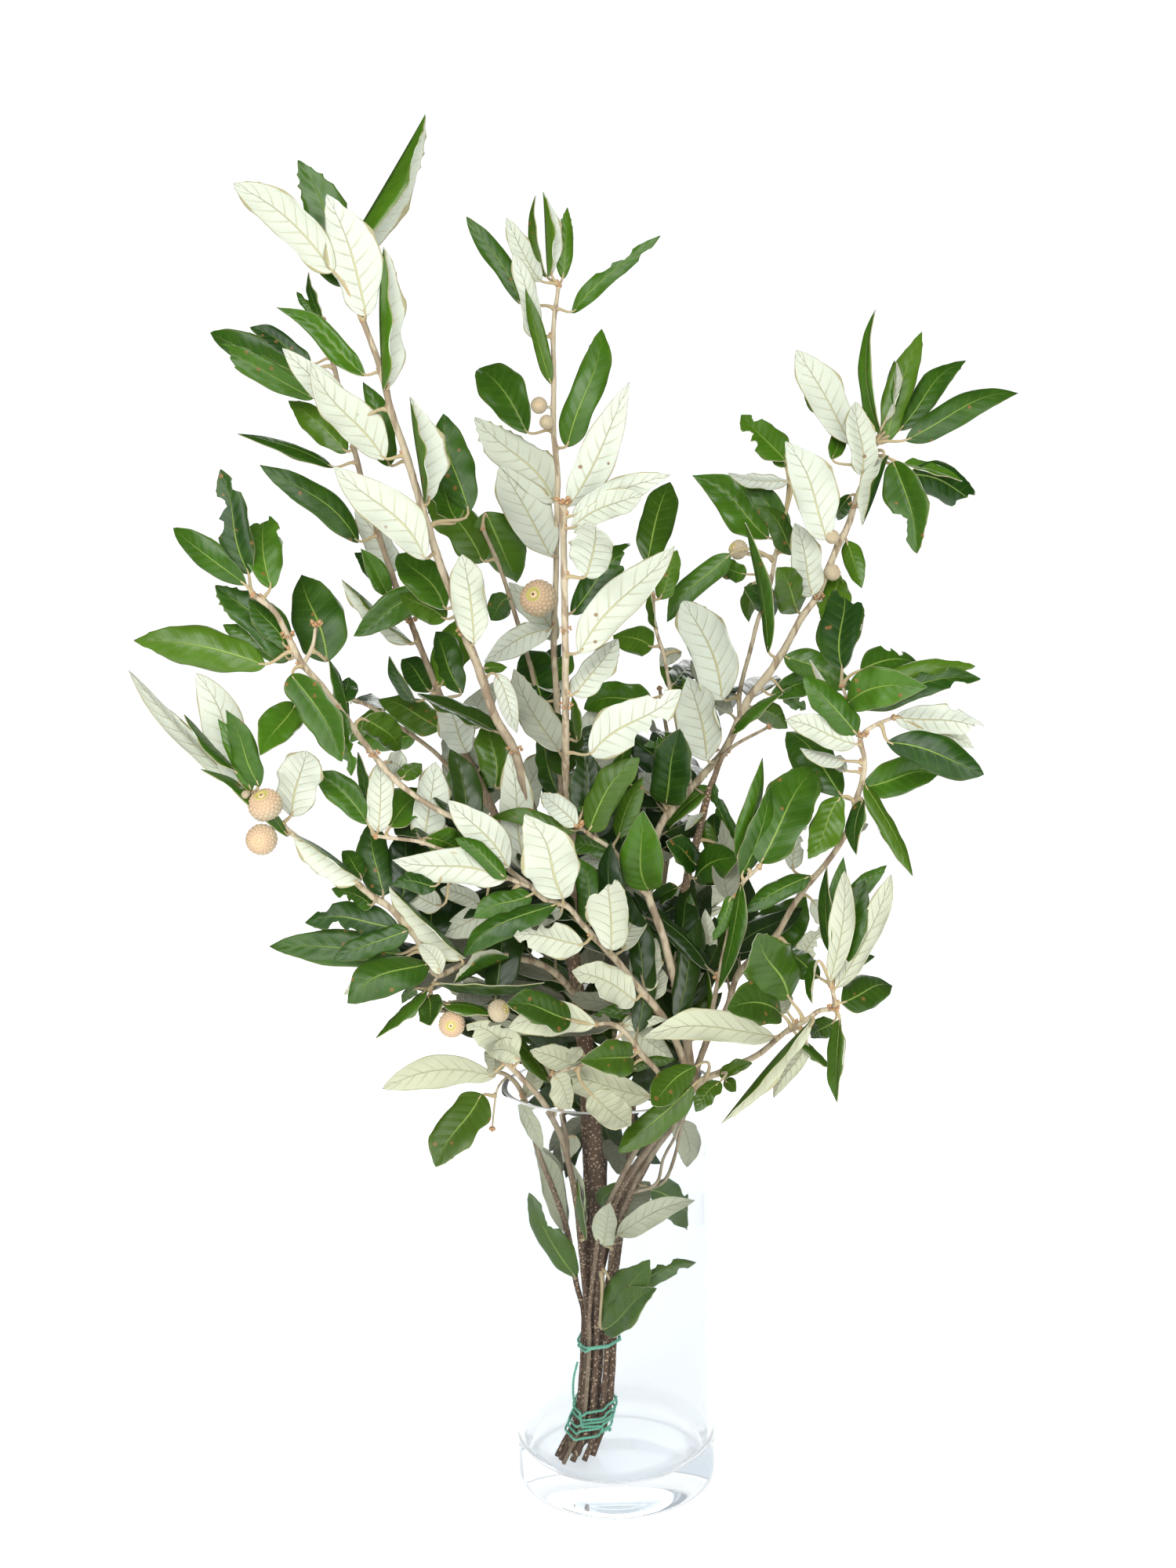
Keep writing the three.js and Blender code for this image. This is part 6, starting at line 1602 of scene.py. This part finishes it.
# ---------------------------------------------------------------- twine
def round_bundle(z, angle, branches, lift):
    """The point of the tight loop round the stems at height z that faces the angle."""
    trunks = [b.paths[0] for b in branches if b.paths[0][0, 2] <= z]
    rows = np.array([path[int(np.argmin(np.abs(path[:80, 2] - z)))] for path in trunks])
    way = np.array([math.cos(angle), math.sin(angle)])
    best = rows[int(np.argmax(rows[:, :2] @ way + rows[:, 3]))]
    spot = best[:2] + way * (best[3] + lift)
    return np.array([spot[0], spot[1], z])


def wind_twine(heap, path, twine):
    """Two plies twisted round the path."""
    ply, pitch = twine.radius / MM, twine.pitch / MM
    cut = smooth_even(path, 0.45)
    _, side, up = sweep_frames(cut)
    for k in range(2):
        turn = run_of(cut) / pitch * TURN + k * math.pi
        spots = cut + (side * np.cos(turn)[:, None] + up * np.sin(turn)[:, None]) * ply * 0.92
        heap.tube(spots, ply, 6, (0.5, 0.5, 0.5))


# ---------------------------------------------------------------- operators
CREW = {}


def crew():
    """All branches, laid out once."""
    if not CREW:
        for name, spec in {**BRANCHES, **BACK_STEMS}.items():
            CREW[name] = Branch(name, spec)
    return CREW


def grow_all(part, grow, materials, attribute, *patterns):
    """One piece for each branch that has such a part."""
    for name, branch in crew().items():
        heap = Heap()
        grow(branch, heap, *patterns)
        if heap.count:
            hand_over(heap.piece(name.replace("branch", part), materials, attribute), "foliage", name)


def vase_profile(vase):
    """Radius and height of the glass in mm, up the outside, over the rim, down the inside and to the middle, and
    where its corners begin: the foot's radius, the inside's radius and the floor."""
    h, rim, foot = vase.height / MM, vase.rim_radius / MM, vase.foot_radius / MM
    wall, floor = vase.wall / MM, vase.floor / MM
    slope = (rim - foot) / (h - 5.2)
    bore = foot - wall
    lip = rim - wall
    outer = [
        (0, 0.9), (foot - 14, 0.6), (foot - 6, 0), (foot - 3.2, 0.1), (foot - 1.5, 0.8), (foot - 0.4, 2.2), (foot, 4.2),
    ]
    outer += [(foot + slope * (z - 4.2), z) for z in (5, 6.5, 10, 30, 70, 110, 150, 190, h - 4, h - 2.4, h - 1.9)]
    top = [
        (rim + 0.02, h - 1.5), (rim - 0.25, h - 0.55), (rim - 0.85, h - 0.1), (rim - wall / 2, h),
        (lip + 0.85, h - 0.1), (lip + 0.25, h - 0.55), (lip, h - 1.5),
    ]
    down = (h - 1.9, h - 2.4, h - 4, 190, 150, 110, 70, 40, floor + 12, floor + 9, floor + 8)
    inner = [(bore + slope * (z - 4.2), z) for z in down]
    well = [
        (bore - 0.25, floor + 7), (bore - 1.2, floor + 3.6), (bore - 3.4, floor + 1.4), (bore - 7, floor + 0.5),
        (bore - 16, floor + 0.1), (0, floor),
    ]
    return outer + top + inner + well, foot, bore, floor


class HOLMOAK_OT_vase(bpy.types.Operator):
    """Turn the clear glass vase with its thick base and rounded rim"""

    bl_idname = "holmoak.vase"
    bl_label = "Glass Vase"

    def execute(self, context):
        vase = context.scene.holmoak_vase
        profile, foot, bore, floor = vase_profile(vase)
        mesh = bpy.data.meshes.new("vase_profile")
        edges = [(i, i + 1) for i in range(len(profile) - 1)]
        mesh.from_pydata([(r * MM, 0, z * MM) for r, z in profile], edges, [])
        glass = bpy.data.objects.new("glass_vase", mesh)
        context.collection.objects.link(glass)
        only(glass)
        bpy.ops.object.mode_set(mode="EDIT")
        bpy.ops.mesh.select_all(action="SELECT")
        bpy.ops.mesh.spin(steps=vase.sides, angle=TURN, center=(0, 0, 0), axis=(0, 0, 1))
        bpy.ops.mesh.select_all(action="SELECT")
        bpy.ops.mesh.remove_doubles(threshold=0.00001)
        bpy.ops.mesh.normals_make_consistent(inside=False)
        bpy.ops.object.mode_set(mode="OBJECT")
        bpy.ops.object.shade_smooth()
        faces = glass.data.polygons
        z = np.array([f.center[2] for f in faces]) / MM
        reach = np.array([math.hypot(f.center[0], f.center[1]) for f in faces]) / MM
        rim = z > vase.height / MM - 1.0
        corner = ((z < 2.3) & (reach > foot - 4)) | ((z > floor + 1) & (z < floor + 8) & (reach < bore))
        faces.foreach_set("material_index", (rim + 2 * corner).astype(np.int32))
        for glazing in (
            glass_material(vase),
            solid_glass("glass_rim", (0.93, 0.94, 0.945), 0.35, 1.2, 0.5),  # painted highlight: the fire-polished rim made milky so that it shows as a light line
            solid_glass("glass_corner", (0.84, 0.87, 0.895), 0.12, 1.12, 1.0),  # a little greyer than the wall: painted shade in the rounded corners of the base
        ):
            glass.data.materials.append(glazing)
        hand_over(glass, "glass", "vase")
        return {"FINISHED"}


class HOLMOAK_OT_stems(bpy.types.Operator):
    """Grow the stems and side twigs of every branch, with swellings where leaves leave them"""

    bl_idname = "holmoak.stems"
    bl_label = "Stems"

    def execute(self, context):
        grow_all("stem", grow_stems, [bark_material(context.scene.holmoak_wood)], "bark_age")
        return {"FINISHED"}


class HOLMOAK_OT_leaves(bpy.types.Operator):
    """Model the leaf patterns once and set a bent copy at each leaf's place"""

    bl_idname = "holmoak.leaves"
    bl_label = "Leaves"

    def execute(self, context):
        leaf = context.scene.holmoak_leaf
        patterns = {name: leaf_pattern(name, shape, leaf) for name, shape in LEAF_PATTERNS.items()}
        grow_all("leaves", grow_leaves, [upper_material(leaf), under_material(leaf)], "leaf_tone", patterns)
        return {"FINISHED"}


class HOLMOAK_OT_buds(bpy.types.Operator):
    """Set scaly buds beside the leaf stalks and at the twig ends"""

    bl_idname = "holmoak.buds"
    bl_label = "Buds"

    def execute(self, context):
        grow_all("buds", grow_buds, [bud_material(context.scene.holmoak_wood)], "bud_tone", bud_pattern())
        return {"FINISHED"}


class HOLMOAK_OT_cups(bpy.types.Operator):
    """Set the scaly acorn cups on their stalks"""

    bl_idname = "holmoak.cups"
    bl_label = "Acorn Cups"

    def execute(self, context):
        grow_all("cups", grow_cups, [cup_material(context.scene.holmoak_cup)], "cup_zone", cup_pattern())
        return {"FINISHED"}


class HOLMOAK_OT_ties(bpy.types.Operator):
    """Wind the two twine ties round the bundle"""

    bl_idname = "holmoak.ties"
    bl_label = "Twine Ties"

    UPPER_TURNS, LOWER_TURNS, STEPS = 2.6, 4.7, 72  # turns of twine, and points in a turn
    LOWER_START, LOWER_RISE = 27.5, 2.6  # height at which the lower tie begins, and its rise in a turn
    CUT_END = ((1.5, -0.6, 0.4), (3.2, -1.0, 0.2), (4.8, -1.2, -0.9), (6.0, -1.2, -2.6))  # from the last turn on

    def execute(self, context):
        twine = context.scene.holmoak_twine
        cotton = twine_material(twine)
        branches = list(crew().values())
        path = []
        for i in range(int(self.STEPS * self.UPPER_TURNS)):
            a = i / self.STEPS * TURN - 2.6
            z = UPPER_TIE_Z - 0.8 + 1.4 * math.sin(a * 0.5 + 0.4) + 0.9 * math.sin(a + 2.0)
            path.append(round_bundle(z, a, branches, 0.75 + 0.25 * math.sin(a * 0.37)))
        path += [path[-1] + np.array(step) for step in self.CUT_END]
        upper = Heap()
        wind_twine(upper, path, twine)
        hand_over(upper.piece("twine_upper", [cotton], "twine_tone"), "twine", "tie_upper")
        path = []
        for i in range(int(self.STEPS * self.LOWER_TURNS)):
            turns = i / self.STEPS
            a = turns * TURN + 2.2
            z = self.LOWER_START + turns * self.LOWER_RISE + 1.6 * math.sin(a + 0.6) + 0.6 * math.sin(a * 2.3)
            path.append(round_bundle(z, a, branches, 0.7 + 0.5 * abs(math.sin(a * 0.31))))
        strand = []  # a loose strand goes up from the tie
        for z in np.linspace(38, 58, 16):
            lift = 0.8 + 1.5 * math.sin((z - 38) / 20 * math.pi)
            strand.append(round_bundle(z, 3.5 - (z - 38) * 0.012, branches, lift))
        cross = [round_bundle(z, 3.7 + (38 - z) * 0.20, branches, 1.5) for z in np.linspace(38.5, 26.5, 18)]
        lower = Heap()
        for cord in (path, strand, cross):
            wind_twine(lower, cord, twine)
        hand_over(lower.piece("twine_lower", [cotton], "twine_tone"), "twine", "tie_lower")
        return {"FINISHED"}


class HOLMOAK_OT_stage(bpy.types.Operator):
    """Make the camera, the pale floor and the soft studio lights"""

    bl_idname = "holmoak.stage"
    bl_label = "Stage"

    AIM = Vector((0, 0, 0.4))  # the middle of the bunch, m
    LAMPS = (  # name, place in m, size in m, watts
        ("key", (-0.75, -1.7, 1.35), 1.3, 28),
        ("front", (0.1, -2.1, 0.95), 1.5, 18),
        ("fill", (1.0, -1.7, 0.4), 1.1, 14),
        ("back", (0.4, 1.7, 1.5), 1.2, 20),
    )

    def execute(self, context):
        stage = context.scene.holmoak_stage
        self.set_camera(context, stage)
        context.scene.view_settings.view_transform = "Standard"
        only()
        bpy.ops.mesh.primitive_plane_add(size=2.4, location=(0, 0, -0.0004))
        floor = context.object
        floor.name = "floor"
        floor.data.materials.append(stage_material(stage))
        world = bpy.data.worlds.new("studio")
        world.use_nodes = True
        studio_light(world.node_tree, stage.ambient)
        context.scene.world = world
        for name, spot, size, watts in self.LAMPS:
            light = bpy.data.lights.new(name, "AREA")
            light.size, light.energy = size, watts
            lamp = bpy.data.objects.new(name, light)
            context.collection.objects.link(lamp)
            lamp.location = spot
            lamp.rotation_euler = (self.AIM - Vector(spot)).to_track_quat("-Z", "Y").to_euler()
        return {"FINISHED"}

    def set_camera(self, context, stage):
        data = bpy.data.cameras.new("camera")
        data.lens, data.sensor_width = stage.lens, 36
        data.clip_start, data.clip_end = 0.01, 50
        camera = bpy.data.objects.new("camera", data)
        context.collection.objects.link(camera)
        t, r = stage.tilt, stage.roll
        forward, up = Vector((0, math.cos(t), -math.sin(t))), Vector((0, math.sin(t), math.cos(t)))
        right = Vector((1, 0, 0))
        x, y = right * math.cos(r) - up * math.sin(r), right * math.sin(r) + up * math.cos(r)
        turn = Matrix((x, y, -forward)).transposed()
        camera.matrix_world = Matrix.Translation(Vector(TABLE_EYE * MM)) @ turn.to_4x4()
        context.scene.camera = camera


class HOLMOAK_PT_panel(bpy.types.Panel):
    """Sizes, colours and operators of the bunch"""

    bl_label = "Holm Oak Bunch"
    bl_idname = "HOLMOAK_PT_panel"
    bl_space_type = "VIEW_3D"
    bl_region_type = "UI"
    bl_category = "Holm Oak"

    def draw(self, context):
        for group in SETTINGS:
            box = self.layout.box()
            box.label(text=group.title())
            settings = getattr(context.scene, "holmoak_" + group)
            for key in settings.__annotations__:
                box.prop(settings, key)
        for operator in ORDER:
            self.layout.operator(operator.bl_idname)


SETTINGS = {
    "stage": HolmOakStageSettings, "vase": HolmOakVaseSettings, "wood": HolmOakWoodSettings,
    "leaf": HolmOakLeafSettings, "cup": HolmOakCupSettings, "twine": HolmOakTwineSettings,
}
ORDER = (
    HOLMOAK_OT_stage, HOLMOAK_OT_vase, HOLMOAK_OT_stems, HOLMOAK_OT_leaves, HOLMOAK_OT_buds, HOLMOAK_OT_cups,
    HOLMOAK_OT_ties,
)


def register():
    for made in (*SETTINGS.values(), *ORDER, HOLMOAK_PT_panel):
        bpy.utils.register_class(made)
    for name, group in SETTINGS.items():
        setattr(bpy.types.Scene, "holmoak_" + name, PointerProperty(type=group))


def unregister():
    for name in SETTINGS:
        delattr(bpy.types.Scene, "holmoak_" + name)
    for made in reversed((*SETTINGS.values(), *ORDER, HOLMOAK_PT_panel)):
        bpy.utils.unregister_class(made)


def main():
    register()
    bpy.ops.holmoak.stage()
    bpy.ops.holmoak.vase()
    bpy.ops.holmoak.stems()
    bpy.ops.holmoak.leaves()
    bpy.ops.holmoak.buds()
    bpy.ops.holmoak.cups()
    bpy.ops.holmoak.ties()


if __name__ == "__main__":
    main()
